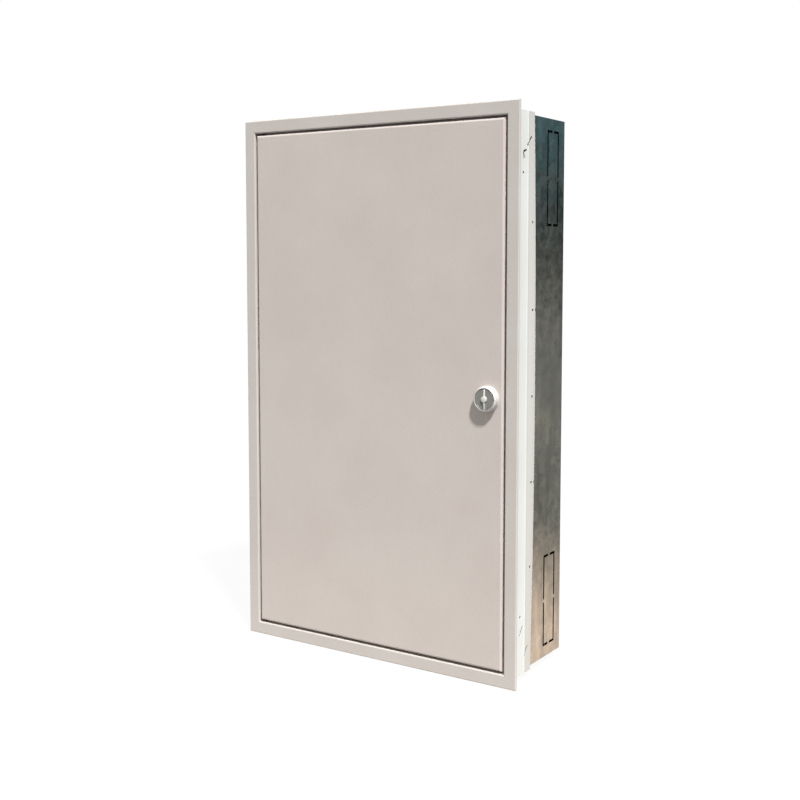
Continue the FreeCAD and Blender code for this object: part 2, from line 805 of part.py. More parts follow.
def make_collar():
    """The collar's two bowed sides, with the flat top and bottom between them."""
    make_collar_side("collar_left", -1)
    make_collar_side("collar_right", 1)
    inner_half = f"({COLLAR_W} / 2 - collar_sheet)"
    for name, low, high in (
        ("collar_bottom", f"-{COLLAR_H} / 2", f"-({COLLAR_H} / 2 - collar_sheet)"),
        ("collar_top", f"{COLLAR_H} / 2 - collar_sheet", f"{COLLAR_H} / 2"),
    ):
        body = new_body(name)
        strip = box(f"-{inner_half}", low, inner_half, high)
        slab(body, f"{name}_strip", "(overall_depth - collar_reach)", FACE_BACK, [strip])


def buffer_places():
    side = [(LIP_X, f"{sz} * ({OPENING_H} / 2 - buffer_inset)") for sz in (-1, 1)]
    ends = [(f"({OPENING_W} / 2 - top_buffer_inset)", f"{sz} * {LIP_Z}") for sz in (-1, 1)]
    return side + ends


def make_buffers():
    """Rubber buffers pushed into the stop lip."""
    body = new_body("door_buffers")
    stems = [small_round(x, z, "buffer_stem_radius") for x, z in buffer_places()]
    heads = [small_round(x, z, "buffer_radius") for x, z in buffer_places()]
    slab(body, "buffer_stems", f"({LIP_FRONT} - buffer_stem_length)", LIP_FRONT, stems)
    slab(body, "buffer_heads", LIP_FRONT, f"({DOOR_BACK} - rest_gap)", heads)


def strike_rivet_places():
    return [(LIP_X, f"{sz} * strike_rivet_place") for sz in (-1, 1)]


def make_strike():
    """Plate behind the stop lip that the lock's cam turns in behind."""
    body = new_body("strike_plate")
    plate = box(
        f"{LIP_X} - strike_width / 2", "-strike_height / 2",
        f"{LIP_X} + strike_width / 2", "strike_height / 2",
    )
    holes = [small_round(x, z, "strike_rivet_radius") for x, z in strike_rivet_places()]
    slab(body, "strike_blank", STRIKE_BACK, LIP_BACK, [plate] + holes)
    rivets = new_body("strike_rivets")
    heads = [small_round(x, z, "strike_rivet_head_radius") for x, z in strike_rivet_places()]
    slab(rivets, "rivet_shanks", STRIKE_BACK, LIP_FRONT, holes)
    slab(rivets, "rivet_heads", LIP_FRONT, f"({LIP_FRONT} + strike_rivet_head_height)", heads)


def make_hinges():
    """Loose-pin hinges: plates and bushes on the frame, brackets and bent pins on the door."""
    plates = new_body("hinge_plates")
    bushes = new_body("hinge_bushes")
    brackets = new_body("hinge_brackets")
    pins = new_body("hinge_pins")
    hole = (HINGE_X, f"-{HINGE_D}", PIN_HOLE)
    wall = f"({OPENING_H} / 2 + frame_sheet)"
    plate_left = f"-({OPENING_W} / 2 + frame_sheet)"
    plate = box(
        plate_left, f"-{FACE_BACK}", f"{plate_left} + hinge_plate_width",
        f"-({FACE_BACK} - hinge_plate_depth)",
    )
    door_edge = f"({DOOR_H} / 2)"
    left = f"-({DOOR_W} / 2 - door_sheet)"
    right = f"{left} + hinge_bracket_width"
    clear_left = f"{left} + {DOOR_INSIDE_RADIUS}"
    ear = [
        (left, f"-({DOOR_INSIDE} - {DOOR_INSIDE_RADIUS})"),
        (clear_left, f"-{DOOR_INSIDE}"),
        (right, f"-{DOOR_INSIDE}"),
        (right, f"-({DOOR_INSIDE} - hinge_bracket_depth)"),
        (left, f"-({DOOR_INSIDE} - hinge_bracket_depth)"),
    ]
    for end, sign in (("top", 1), ("bottom", -1)):
        low = "0" if sign > 0 else "1"
        prism(
            plates, f"{end}_plate", "Pad", "XY_Plane",
            f"{sign} * {wall} - {low} * hinge_plate_sheet", "hinge_plate_sheet", [plate, hole],
        )
        flange = f"({OPENING_H} / 2 - {door_edge} - rest_gap)"
        prism(
            bushes, f"{end}_bush_flange", "Pad", "XY_Plane",
            f"{sign} * {OPENING_H} / 2 - (1 - {low}) * {flange}", flange,
            [(HINGE_X, f"-{HINGE_D}", "bush_flange_radius"), hole],
        )
        prism(
            bushes, f"{end}_bush_sleeve", "Pad", "XY_Plane",
            f"{sign} * {OPENING_H} / 2 - {low} * frame_sheet", "frame_sheet",
            [(HINGE_X, f"-{HINGE_D}", "bush_radius"), hole],
        )
        ear_top = f"({door_edge} - hinge_ear_drop)"
        prism(
            brackets, f"{end}_ear", "Pad", "XY_Plane",
            f"{sign} * {ear_top} - (1 - {low}) * hinge_bracket_sheet", "hinge_bracket_sheet",
            [ear, hole],
        )
        low_z = f"{sign} * {ear_top} - (1 - {low}) * hinge_bracket_height"
        base = box(clear_left, low_z, right, f"{low_z} + hinge_bracket_height")
        slab(brackets, f"{end}_base", f"({DOOR_INSIDE} - hinge_bracket_sheet)", DOOR_INSIDE, [base])
        make_pin(pins, end, sign, door_edge)


def make_pin(body, end, sign, door_edge):
    """A round pin whose inner end is bent sharply over as a handle."""
    tip = f"{sign} * ({door_edge} + pin_stand_out)"
    elbow = f"{sign} * ({door_edge} + pin_stand_out - pin_length)"
    profile = new_sketch(body, f"{end}_pin_section", "XY_Plane", tip)
    draw(profile, [(HINGE_X, f"-{HINGE_D}", "pin_radius")])
    path = new_sketch(body, f"{end}_pin_path", "XZ_Plane", HINGE_D)
    x = value(HINGE_X)
    corner = FreeCAD.Vector(x, value(elbow), 0)
    path.addGeometry(
        [
            Part.LineSegment(FreeCAD.Vector(x, value(tip), 0), corner),
            Part.LineSegment(corner, corner + FreeCAD.Vector(value("pin_handle"), 0, 0)),
        ]
    )
    path.addConstraint(Sketcher.Constraint("Coincident", 0, 2, 1, 1))
    fix_point(path, 0, 1, HINGE_X, tip)
    fix_point(path, 0, 2, HINGE_X, elbow)
    fix_point(path, 1, 2, f"{HINGE_X} + pin_handle", elbow)
    pipe = body.newObject("PartDesign::AdditivePipe", f"{end}_pin")
    pipe.Profile = profile
    pipe.Spine = (path, ["Edge1", "Edge2"])
    pipe.Transition = "Right corner"


def make_door():
    """Door tray with its returned and hemmed edge, and two stiffeners behind its sheet."""
    body = new_body("door_panel")
    outer = centred(DOOR_W, DOOR_H)
    slab(body, "door_face", DOOR_INSIDE, "overall_depth", [outer])
    inner = centred(f"({DOOR_W} - 2 * door_sheet)", f"({DOOR_H} - 2 * door_sheet)")
    slab(body, "door_return", DOOR_BACK, DOOR_INSIDE, [outer, inner])
    hem = centred(f"({DOOR_W} - 2 * door_hem)", f"({DOOR_H} - 2 * door_hem)")
    tray = slab(body, "door_hem_fold", DOOR_BACK, f"({DOOR_BACK} + door_sheet)", [outer, hem])
    inner_rim = on_rim(DOOR_INSIDE, f"({DOOR_W} - 2 * door_sheet)", f"({DOOR_H} - 2 * door_sheet)")
    tray = round_edges(body, "door_inside_fold", tray, DOOR_INSIDE_RADIUS, inner_rim)
    outer_rim = on_rim("overall_depth", DOOR_W, DOOR_H)
    round_edges(body, "door_fold", tray, "door_edge_radius", outer_rim)
    barrel_hole = (LOCK_X, "0", "lock_barrel_radius + lock_hole_clearance")
    slab(body, "lock_hole", DOOR_INSIDE, "overall_depth", [barrel_hole], kind="Pocket")
    prism(
        body, "pin_holes", "Pocket", "XY_Plane", f"-{DOOR_H} / 2", DOOR_H,
        [(HINGE_X, f"-{HINGE_D}", PIN_HOLE)],
    )
    stiffeners = new_body("door_stiffeners")
    foot = f"(-{DOOR_INSIDE})"
    crown = f"(-({DOOR_INSIDE} - stiffener_depth))"
    for word, sign in (("left", -1), ("right", 1)):
        middle = f"{sign} * ({DOOR_W} / 2 - stiffener_inset)"
        half = [
            ("stiffener_width / 2", foot),
            ("stiffener_width / 2", f"{foot} + stiffener_sheet"),
            ("stiffener_crown / 2", f"{foot} + stiffener_sheet"),
            ("stiffener_crown / 2", crown),
        ]
        inner_half = [
            ("stiffener_crown / 2 - stiffener_sheet", f"{crown} - stiffener_sheet"),
            ("stiffener_crown / 2 - stiffener_sheet", foot),
        ]
        section = [(f"{middle} + {x}", y) for x, y in half]
        section += [(f"{middle} - ({x})", y) for x, y in reversed(half)]
        section += [(f"{middle} - ({x})", y) for x, y in reversed(inner_half)]
        section += [(f"{middle} + {x}", y) for x, y in inner_half]
        prism(
            stiffeners, f"{word}_stiffener", "Pad", "XY_Plane",
            f"-({DOOR_H} / 2 - stiffener_margin)", f"{DOOR_H} - 2 * stiffener_margin", [section],
        )


def make_lock():
    """Quarter-turn lock: fixed housing and nut on the door, disc, grip and cam that turn."""
    bore = "spindle_radius + pin_clearance"
    recess = "lock_rim_radius - lock_rim"
    base_top = "(overall_depth + lock_base_height)"
    housing = new_body("lock_housing")
    revolve(
        housing, "housing_turning",
        [
            (bore, BARREL_BACK),
            ("lock_barrel_radius", BARREL_BACK),
            ("lock_barrel_radius", "overall_depth"),
            ("lock_base_radius", "overall_depth"),
            ("lock_base_radius", f"{base_top} - lock_base_height / 2"),
            ("lock_rim_radius", base_top),
            ("lock_rim_radius", f"{LOCK_FRONT} - lock_rim_chamfer"),
            ("lock_rim_radius - lock_rim_chamfer", LOCK_FRONT),
            (recess, LOCK_FRONT),
            (recess, LOCK_FLOOR),
            (bore, LOCK_FLOOR),
        ],
    )
    nut = new_body("lock_nut")
    slab(
        nut, "nut_blank", f"({DOOR_INSIDE} - lock_nut_height)", DOOR_INSIDE,
        [hexagon("0", "0", "lock_nut_size"), ("0", "0", "lock_barrel_radius + thread_clearance")],
    )
    disc = new_body("lock_disc")
    revolve(
        disc, "disc_turning",
        [
            ("0", CAM_FRONT),
            ("spindle_radius", CAM_FRONT),
            ("spindle_radius", f"{LOCK_FLOOR} + rest_gap"),
            (f"{recess} - lock_disc_clearance", f"{LOCK_FLOOR} + rest_gap"),
            (f"{recess} - lock_disc_clearance", DISC_FRONT),
            ("0", DISC_FRONT),
        ],
    )
    slab(disc, "spindle_drive", CAM_BACK, CAM_FRONT, [square("0", "0", "spindle_square")])
    thread = small_round("0", "0", "cam_screw_radius + thread_clearance")
    slab(
        disc, "spindle_thread", CAM_BACK, f"({CAM_BACK} + cam_screw_length + thread_clearance)",
        [thread], kind="Pocket",
    )
    grip = new_body("lock_grip")
    length = f"(2 * ({recess} - lock_disc_clearance - grip_margin))"
    slab(
        grip, "grip_bar", DISC_FRONT, f"({DISC_FRONT} + grip_height)",
        [centred("grip_width", length)],
    )
    slab(
        grip, "grip_boss", DISC_FRONT, f"({DISC_FRONT} + boss_height)",
        [("0", "0", "boss_radius")],
    )
    cam = new_body("lock_cam")
    slab(
        cam, "cam_arm", CAM_BACK, CAM_FRONT,
        [
            [
                ("-cam_width / 2", "-cam_width / 2"),
                ("cam_width / 2", "-cam_width / 2"),
                ("cam_width / 2", "cam_width / 2"),
                ("cam_tip_width / 2", "cam_reach"),
                ("-cam_tip_width / 2", "cam_reach"),
                ("-cam_width / 2", "cam_width / 2"),
            ],
            square("0", "0", "(spindle_square + 2 * square_clearance)"),
        ],
    )
    washer = new_body("cam_washer")
    washer_back = f"({CAM_BACK} - cam_washer_height)"
    slab(
        washer, "washer_blank", washer_back, CAM_BACK,
        [many_sided("0", "0", "cam_washer_radius", 2 * SIDES), thread],
    )
    screw = new_body("cam_screw")
    slab(
        screw, "cam_screw_shank", washer_back, f"({CAM_BACK} + cam_screw_length)",
        [small_round("0", "0", "cam_screw_radius")],
    )
    slab(
        screw, "cam_screw_head", f"({washer_back} - cam_screw_head_height)", washer_back,
        [many_sided("0", "0", "cam_screw_head_radius", 2 * SIDES)],
    )
    for body in (housing, nut, disc, grip, cam, washer, screw):
        place(body, x=LOCK_X)


def check_model():
    """Stop with a plain message if anything failed to build or a cut removed nothing."""
    for item in doc.Objects:
        if {"Invalid", "Error"} & set(item.State):
            raise RuntimeError(f"{item.Label} did not build: {item.State}")
        if item.TypeId == "PartDesign::Pocket":
            before = item.BaseFeature.Shape.Volume
            if item.Shape.Volume > before - 0.01:
                raise RuntimeError(f"{item.Label} cuts nothing")
    for node in nodes:
        if node.Shape.isNull() or not node.Shape.isValid():
            raise RuntimeError(f"{node.Label} has no valid shape")


def export_nodes():
    os.makedirs("parts", exist_ok=True)
    for node in nodes:
        node.Shape.exportStep(os.path.join("parts", f"{node.Label}.step"))
        box_size = node.Shape.BoundBox
        print(
            f"{node.Label}: {len(node.Shape.Solids)} solids,"
            f" x {box_size.XMin:.1f}..{box_size.XMax:.1f},"
            f" y {box_size.YMin:.1f}..{box_size.YMax:.1f},"
            f" z {box_size.ZMin:.1f}..{box_size.ZMax:.1f}"
        )


fill_sheet()
make_trough()
make_adjusters()
make_uprights()
make_supports()
make_rails()
make_earth_stud()
make_trim_frame()
make_collar()
make_buffers()
make_strike()
make_hinges()
make_door()
make_lock()
doc.recompute()
check_model()
export_nodes()
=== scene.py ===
import json
import math
from functools import partial

import bmesh
import bpy
from mathutils import Matrix, Vector


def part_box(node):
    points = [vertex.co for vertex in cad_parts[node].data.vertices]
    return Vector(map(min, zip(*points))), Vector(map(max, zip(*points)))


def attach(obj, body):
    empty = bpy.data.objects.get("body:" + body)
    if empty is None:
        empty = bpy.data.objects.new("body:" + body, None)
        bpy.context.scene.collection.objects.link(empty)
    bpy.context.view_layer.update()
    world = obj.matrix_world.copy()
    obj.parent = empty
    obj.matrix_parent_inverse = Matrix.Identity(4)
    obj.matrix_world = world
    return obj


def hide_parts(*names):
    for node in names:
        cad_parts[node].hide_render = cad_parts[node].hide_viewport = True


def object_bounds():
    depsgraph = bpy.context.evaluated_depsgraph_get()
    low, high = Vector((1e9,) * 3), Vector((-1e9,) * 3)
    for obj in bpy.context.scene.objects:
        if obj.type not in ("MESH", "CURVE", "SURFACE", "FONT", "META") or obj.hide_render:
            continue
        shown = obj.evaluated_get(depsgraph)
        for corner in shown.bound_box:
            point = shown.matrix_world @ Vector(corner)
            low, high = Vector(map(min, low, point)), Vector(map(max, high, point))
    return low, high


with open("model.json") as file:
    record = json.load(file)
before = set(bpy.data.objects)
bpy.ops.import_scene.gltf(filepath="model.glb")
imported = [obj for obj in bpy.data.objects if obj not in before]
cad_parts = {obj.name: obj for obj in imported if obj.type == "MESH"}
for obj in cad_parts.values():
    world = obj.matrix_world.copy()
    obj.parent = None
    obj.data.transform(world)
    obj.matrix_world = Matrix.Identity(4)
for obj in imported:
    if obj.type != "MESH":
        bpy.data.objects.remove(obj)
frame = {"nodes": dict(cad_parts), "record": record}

# The scene is in metres: X to the right of the door, Y into the wall, Z up. Sizes of pieces are
# written in millimetres and scaled by MM.
CAD_LOW, CAD_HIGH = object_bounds()
MM = 0.001

# Camera, fitted to the corners of the trim frame, door, collar and trough.
CAMERA_PLACE = (1.2054, -1.9342, 0.2367)
CAMERA_YAW = math.radians(33.514)
CAMERA_PITCH = math.radians(4.536)
CAMERA_LENS = 52.52
CAMERA_SHIFT_UP = -0.06

# Studio light: the key lamp stands high in front of the enclosure, to its right.
KEY_TOWARDS = (0.49, -0.365, 0.92)
KEY_STRENGTH = 5.25
KEY_ANGLE = math.radians(5)
FILL_STRENGTH = 0.5
FLOOR_RADIUS = 7.0
FLOOR_CAMERA_WHITE = 0.95

# What the bare metal reflects of the far room: its side, and its colours by the height of the
# ray's heading.
FAR_SIDE = (0.55, 0.83, 0.0)
FAR_ROOM = [
    (-0.06, (0.33, 0.315, 0.275, 1.0)),
    (-0.02, (0.10, 0.10, 0.088, 1.0)),
    (0.04, (0.045, 0.05, 0.044, 1.0)),
    (0.065, (0.052, 0.072, 0.07, 1.0)),
    (0.10, (0.105, 0.19, 0.21, 1.0)),
]

# How finely round and bowed things are drawn.
TURNED_POINTS = 96
RING_POINTS = 48
CORNER_STEPS = 5
RAIL_CORNER_STEPS = 4
PUNCH_STEPS = 12
BEND_STEPS = 8
PIN_POINTS = 24
WELD_POINTS = 24
SPAN_STEPS = 48

# Sizes of the CAD model that the boxes of its nodes don't give.
FRONT = 205
DISC_BACK = -213.9
CAM_FRONT = -183.5
FRAME_SHEET = 1.5
COLLAR_SHEET = 1
COLLAR_FOLD = 56
COLLAR_REACH = 80
COLLAR_BOW = 5
RAILS = 6
RAIL_WIDTH = 35
RAIL_CROWN = 27
RAIL_SHEET = 1
SPINDLE_RADIUS = 5
SPINDLE_BORE = 5.05
SPINDLE_SQUARE = 7
LOCK_BARREL_RADIUS = 11
BUSH_RADIUS = 3.5
BUSH_FLANGE_RADIUS = 4.5
BUSH_BORE = 2.05

# Fasteners, as the arguments of the functions that draw them.
HEX_SCREW = {"size": 8, "head": 3.5, "radius": 2.5, "length": 12}
ADJUSTING_SCREW = {"head_radius": 4.75, "head": 3, "radius": 2.5, "length": 60}
CAM_SCREW = {"head_radius": 4, "head": 2.6, "radius": 2, "length": 11}
SQUARE_NUT_SIZES = {"rail_nuts": 10, "support_nuts": 10, "adjuster_nuts": 9}
SQUARE_NUT = {"sides": 4, "height": 4, "bore": 2.6}
STRIKE_RIVET = {"radius": 3, "height": 1, "shank_radius": 1.5, "length": 3.7}
DOOR_BUFFER = {"radius": 4, "height": 4.2, "shank_radius": 1.9, "length": 8.2}
LOCK_NUT = {"size": 28, "sides": 6, "height": 5, "bore": 11.1}
CAM_WASHER = {"radius": 6, "height": 1, "bore": 2.1}
EARTH_WASHER = {"radius": 6, "height": 1.6, "bore": 3.1}
EARTH_NUT = {"size": 10, "sides": 6, "height": 5, "bore": 3.1}
EARTH_STUD_RADIUS = 3
EARTH_STUD_LENGTH = 25
EARTH_STUD_ROOT = 1.5
SCREW_SPIN = math.radians(30)
NUT_SPIN = math.radians(2)

# Spot welds: on the stiffeners' flanges, their distance from the edge and the ends, and how many
# make a row; on the supports' feet, their distance from the end and the middle, and their depth.
WELD_EDGE = 4.5
WELD_MARGIN = 35
WELD_ROWS = 12
STIFFENER_SHEET = 1
FOOT_WELD_INSET = 12
FOOT_WELD_ASIDE = 6
FOOT_WELD_DEPTH = -2.5

# Hinge pins: the bend into the handle, and the chamfer of the ends.
PIN_BEND = 4.0
PIN_CHAMFER = 0.6

# Knob housing: base, width of the rim's face, depth of its bevel, and the index notch.
LOCK_BASE_HEIGHT = 1.6
LOCK_RIM_STEP = 0.5
RIM_FACE = 0.6
RIM_BEVEL = 2.9
NOTCH_DEPTH = 1.4
NOTCH_ANGLE = 0.12

# Grip bar on the disc: half its width, its height in the middle and at its ends, the run of its
# rounded ends, and the height of the boss's side.
GRIP_HALF_WIDTH = 1.55
GRIP_CREST = 3.0
GRIP_END = 0.3
GRIP_END_RUN = 1.2
BOSS_SIDE = 2.3
BOSS_DOME = 0.9

# Collar, from the front: the ridge along its fold and its rear edge, as (reach, height).
COLLAR_RIDGE = [
    (1.5, 0), (30, 0), (53, 0), (54.2, 0.35), (55.2, 0.75), (56, 0.9), (56.8, 0.75),
    (57.8, 0.35), (59, 0), (62, 0), (65, 0), (68, 0), (71, 0), (74, 0), (77, 0),
    (78.8, -0.1), (79.6, -0.35), (80, -0.8),
]

# Openings of a collar side: the run of (reach, height) of each and the punch's radius.
COLLAR_PUNCHES = [
    *[([(70, height)], 2.4) for height in (-300, -150, 0, 150, 300)],
    *[([(80, height)], 3.0) for height in (-150, 150)],
    *[([(39, height)], 2.4) for height in (-383, 383)],
    ([(66, 444), (54, 430)], 1.9),
    ([(49, 421), (39, 418)], 1.9),
    ([(66, -441), (56, -455)], 1.9),
    ([(48, -402), (40, -415)], 1.9),
]
COLLAR_SECOND_PUNCHES = [([(39, 418), (41, 408)], 1.9)]


# Node helpers.

def feed(tree, socket, source):
    """Link a socket to another one, or give it a value."""
    if isinstance(source, bpy.types.NodeSocket):
        tree.links.new(source, socket)
    else:
        socket.default_value = source


def add_node(tree, kind, inputs=None, **settings):
    """A new node with its settings, and a link or a value at each input that is named."""
    node = tree.nodes.new(kind)
    for key, setting in settings.items():
        setattr(node, key, setting)
    for key, source in (inputs or {}).items():
        feed(tree, node.inputs[key], source)
    return node


class Shader:
    """A material whose Principled shader is fed by a few named nodes."""

    def __init__(self, name, metallic=0.0, roughness=0.5, specular=0.5, coat=0.0):
        self.material = bpy.data.materials.new(name)
        self.material.use_nodes = True
        self.tree = self.material.node_tree
        self.surface = self.tree.nodes["Principled BSDF"]
        self.surface.inputs["Metallic"].default_value = metallic
        self.surface.inputs["Roughness"].default_value = roughness
        self.surface.inputs["Specular IOR Level"].default_value = specular
        self.surface.inputs["Coat Weight"].default_value = coat
        self.add = partial(add_node, self.tree)
        self.feed = partial(feed, self.tree)
        self.place = self.add("ShaderNodeTexCoord").outputs["Object"]

    def stretched(self, scale):
        """Object coordinates with a scale for each axis, for patterns with a direction."""
        mapping = self.add("ShaderNodeMapping", {"Vector": self.place, "Scale": scale})
        return mapping.outputs["Vector"]

    def noise(self, scale, detail=3.0, roughness=0.55, place=None):
        node = self.add(
            "ShaderNodeTexNoise",
            {
                "Vector": place or self.place,
                "Scale": scale,
                "Detail": detail,
                "Roughness": roughness,
            },
        )
        return node.outputs["Fac"]

    def crystals(self, scale, place=None):
        """Random value of each cell of a Voronoi pattern."""
        node = self.add(
            "ShaderNodeTexVoronoi", {"Vector": place or self.place, "Scale": scale}
        )
        split = self.add("ShaderNodeSeparateColor", {"Color": node.outputs["Color"]})
        return split.outputs["Red"]

    def spread(self, source, low, high, start=0.0, end=1.0):
        """Map a value from start..end to low..high."""
        node = self.add(
            "ShaderNodeMapRange",
            {"Value": source, "From Min": start, "From Max": end, "To Min": low, "To Max": high},
        )
        return node.outputs["Result"]

    def mix(self, factor, first, second, blend="MIX"):
        node = self.add("ShaderNodeMix", data_type="RGBA", blend_type=blend)
        colours = [socket for socket in node.inputs if socket.type == "RGBA"]
        self.feed(node.inputs["Factor"], factor)
        for socket, colour in zip(colours, (first, second)):
            self.feed(socket, colour)
        return next(socket for socket in node.outputs if socket.type == "RGBA")

    def calculate(self, operation, first, second=0.0):
        return self.add("ShaderNodeMath", {0: first, 1: second}, operation=operation).outputs[0]

    def vector(self, operation, first, second):
        node = self.add("ShaderNodeVectorMath", {0: first, 1: second}, operation=operation)
        return node.outputs[0]

    def length(self, source):
        node = self.add("ShaderNodeVectorMath", {0: source}, operation="LENGTH")
        return node.outputs["Value"]

    def colour(self, source):
        self.feed(self.surface.inputs["Base Color"], source)

    def roughness(self, source):
        self.feed(self.surface.inputs["Roughness"], source)

    def bump(self, height, strength, distance):
        node = self.add(
            "ShaderNodeBump", {"Height": height, "Strength": strength, "Distance": distance}
        )
        self.feed(self.surface.inputs["Normal"], node.outputs["Normal"])


def shade(red, green, blue):
    """Colour socket value from 0..255 display values."""

    def linear(part):
        part /= 255
        return part / 12.92 if part <= 0.04045 else ((part + 0.055) / 1.055) ** 2.4

    return (linear(red), linear(green), linear(blue), 1.0)


def powder_coat(name, light, dark, roughness=0.42, rear_tone=None):
    """Sprayed and baked coat with a fine orange peel, faint clouds and a satin sheen.

    rear_tone, when given, is the darker, warmer colour used behind the collar's fold.
    """
    paint = Shader(name, roughness=roughness, specular=0.4)
    clouds = paint.noise(7.0, detail=4.0)
    fine = paint.noise(900.0, detail=2.0)
    base = paint.mix(paint.spread(clouds, 0.0, 1.0, 0.35, 0.65), light, dark)
    coat = paint.mix(paint.spread(fine, 0.0, 0.1, 0.4, 0.7), base, shade(255, 255, 255))
    # Behind the collar's fold the colour blends over 2 mm into a darker, warmer tone.
    if rear_tone:
        depth = paint.add("ShaderNodeSeparateXYZ", {"Vector": paint.place}).outputs["Y"]
        fold = (COLLAR_FOLD - FRONT) * MM
        coat = paint.mix(paint.spread(depth, 0.0, 1.0, fold, fold + 2 * MM), coat, rear_tone)
    paint.colour(coat)
    paint.roughness(paint.spread(clouds, roughness - 0.04, roughness + 0.05))
    peel = paint.noise(420.0, detail=2.0, roughness=0.6)
    paint.bump(peel, 0.35, 0.05 * MM)
    return paint.material


def galvanised(name):
    """Hot-dip zinc: crystals of differing tone, oxide, streaks, rolling lines and low waves."""
    zinc = Shader(name, metallic=1.0, roughness=0.35)
    warp = zinc.vector("MULTIPLY", zinc.noise(18.0), (0.012, 0.012, 0.012))
    shifted = zinc.vector("ADD", zinc.place, warp)
    cells = zinc.crystals(70.0, shifted)
    spangle = zinc.mix(0.35, cells, zinc.crystals(180.0, shifted))
    oxide = zinc.noise(5.0, detail=6.0, roughness=0.65)
    streaks = zinc.noise(30.0, detail=4.0, place=zinc.stretched((1.0, 1.0, 0.2)))
    lines = zinc.noise(60.0, place=zinc.stretched((1.0, 1.0, 0.05)))
    tone = zinc.mix(zinc.spread(spangle, 0.0, 1.0), shade(168, 173, 173), shade(208, 209, 205))
    cloudy = zinc.mix(zinc.spread(oxide, 0.0, 0.55, 0.42, 0.7), tone, shade(138, 145, 145))
    dull = zinc.mix(zinc.spread(streaks, 0.0, 0.5, 0.5, 0.72), cloudy, shade(120, 128, 130))
    pale = zinc.mix(zinc.spread(streaks, 0.4, 0.0, 0.28, 0.46), dull, shade(226, 226, 220))
    zinc.colour(zinc.mix(zinc.spread(lines, 0.0, 0.2, 0.4, 0.7), pale, shade(214, 214, 208)))
    rough = zinc.spread(spangle, 0.15, 0.26)
    zinc.roughness(zinc.calculate("ADD", rough, zinc.spread(oxide, -0.02, 0.1, 0.35, 0.7)))
    waves = zinc.spread(zinc.noise(28.0, detail=1.5), 0.0, 110.0)
    grain = zinc.calculate("ADD", cells, zinc.noise(260.0))
    zinc.bump(zinc.calculate("ADD", waves, grain), 0.25, 0.04 * MM)
    return zinc.material


def bright_zinc(name):
    """Plated steel with a slight blue cast and a fine grain."""
    zinc = Shader(name, metallic=1.0)
    grain = zinc.noise(350.0, detail=2.0)
    clouds = zinc.spread(zinc.noise(22.0, detail=3.0), 0.0, 1.0, 0.35, 0.65)
    base = zinc.mix(clouds, shade(196, 198, 196), shade(164, 170, 176))
    zinc.colour(zinc.mix(zinc.spread(grain, 0.0, 0.3, 0.4, 0.65), base, shade(222, 222, 216)))
    zinc.roughness(zinc.spread(grain, 0.22, 0.38))
    zinc.bump(grain, 0.2, 0.02 * MM)
    return zinc.material


def moulded(name, light, dark, roughness, bump=0.12, coat=0.0):
    """Moulded plastic or rubber with fine grain and slight unevenness of gloss."""
    plastic = Shader(name, roughness=roughness, specular=0.45, coat=coat)
    clouds = plastic.noise(60.0, detail=3.0)
    plastic.colour(plastic.mix(plastic.spread(clouds, 0.0, 1.0, 0.35, 0.65), light, dark))
    plastic.roughness(plastic.spread(clouds, roughness - 0.05, roughness + 0.06))
    plastic.bump(plastic.noise(1400.0, detail=2.0), bump, 0.03 * MM)
    return plastic.material


def turned_face(name, centre, light, dark):
    """Satin disc with fine rings round the lock's axis."""
    disc = Shader(name, roughness=0.38, specular=0.5)
    offset = disc.vector("SUBTRACT", disc.place, centre)
    reach = disc.length(disc.vector("MULTIPLY", offset, (1.0, 0.0, 1.0)))
    lines = disc.calculate("SINE", disc.calculate("MULTIPLY", reach, 9000.0))
    clouds = disc.noise(90.0, detail=3.0)
    base = disc.mix(disc.spread(clouds, 0.0, 1.0, 0.3, 0.7), light, dark)
    disc.colour(disc.mix(disc.spread(lines, 0.0, 0.1, -1.0, 1.0), base, shade(196, 196, 192)))
    disc.bump(lines, 0.15, 0.02 * MM)
    return disc.material


def make_materials():
    """All finishes, by the material slots of the record."""
    return {
        "galvanised_sheet": galvanised("galvanised_sheet"),
        "zinc_plated": bright_zinc("zinc_plated"),
        "frame_paint": powder_coat("frame_paint", shade(199, 193, 187), shade(195, 188, 181)),
        "collar_paint": powder_coat(
            "collar_paint", shade(221, 223, 220), shade(216, 218, 214), 0.5,
            # Darker, warmer colour behind the collar's fold.
            rear_tone=shade(203, 201, 196),
        ),
        "door_paint": powder_coat("door_paint", shade(202, 193, 186), shade(198, 188, 181)),
        "buffer_rubber": moulded("buffer_rubber", shade(46, 46, 46), shade(36, 36, 36), 0.75, 0.3),
        "bush_plastic": moulded("bush_plastic", shade(54, 54, 52), shade(44, 44, 44), 0.5),
        "lock_housing": moulded(
            "lock_housing", shade(213, 210, 208), shade(207, 204, 200), 0.35, coat=0.2
        ),
        "lock_disc": turned_face(
            "lock_disc", centre_of("lock_disc"), shade(132, 131, 127), shade(122, 121, 117)
        ),
        "lock_grip": moulded("lock_grip", shade(214, 216, 209), shade(206, 209, 202), 0.35),
    }


def paint_nodes(materials):
    """Give each CAD node the finish of its material slot."""
    for part in frame["record"]["subparts"]:
        node = frame["nodes"][part["node"]]
        node.data.materials.clear()
        node.data.materials.append(materials[part["material_slot"]])


# Where things are in the CAD model.

def centre_of(node):
    low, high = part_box(node)
    return (low + high) / 2


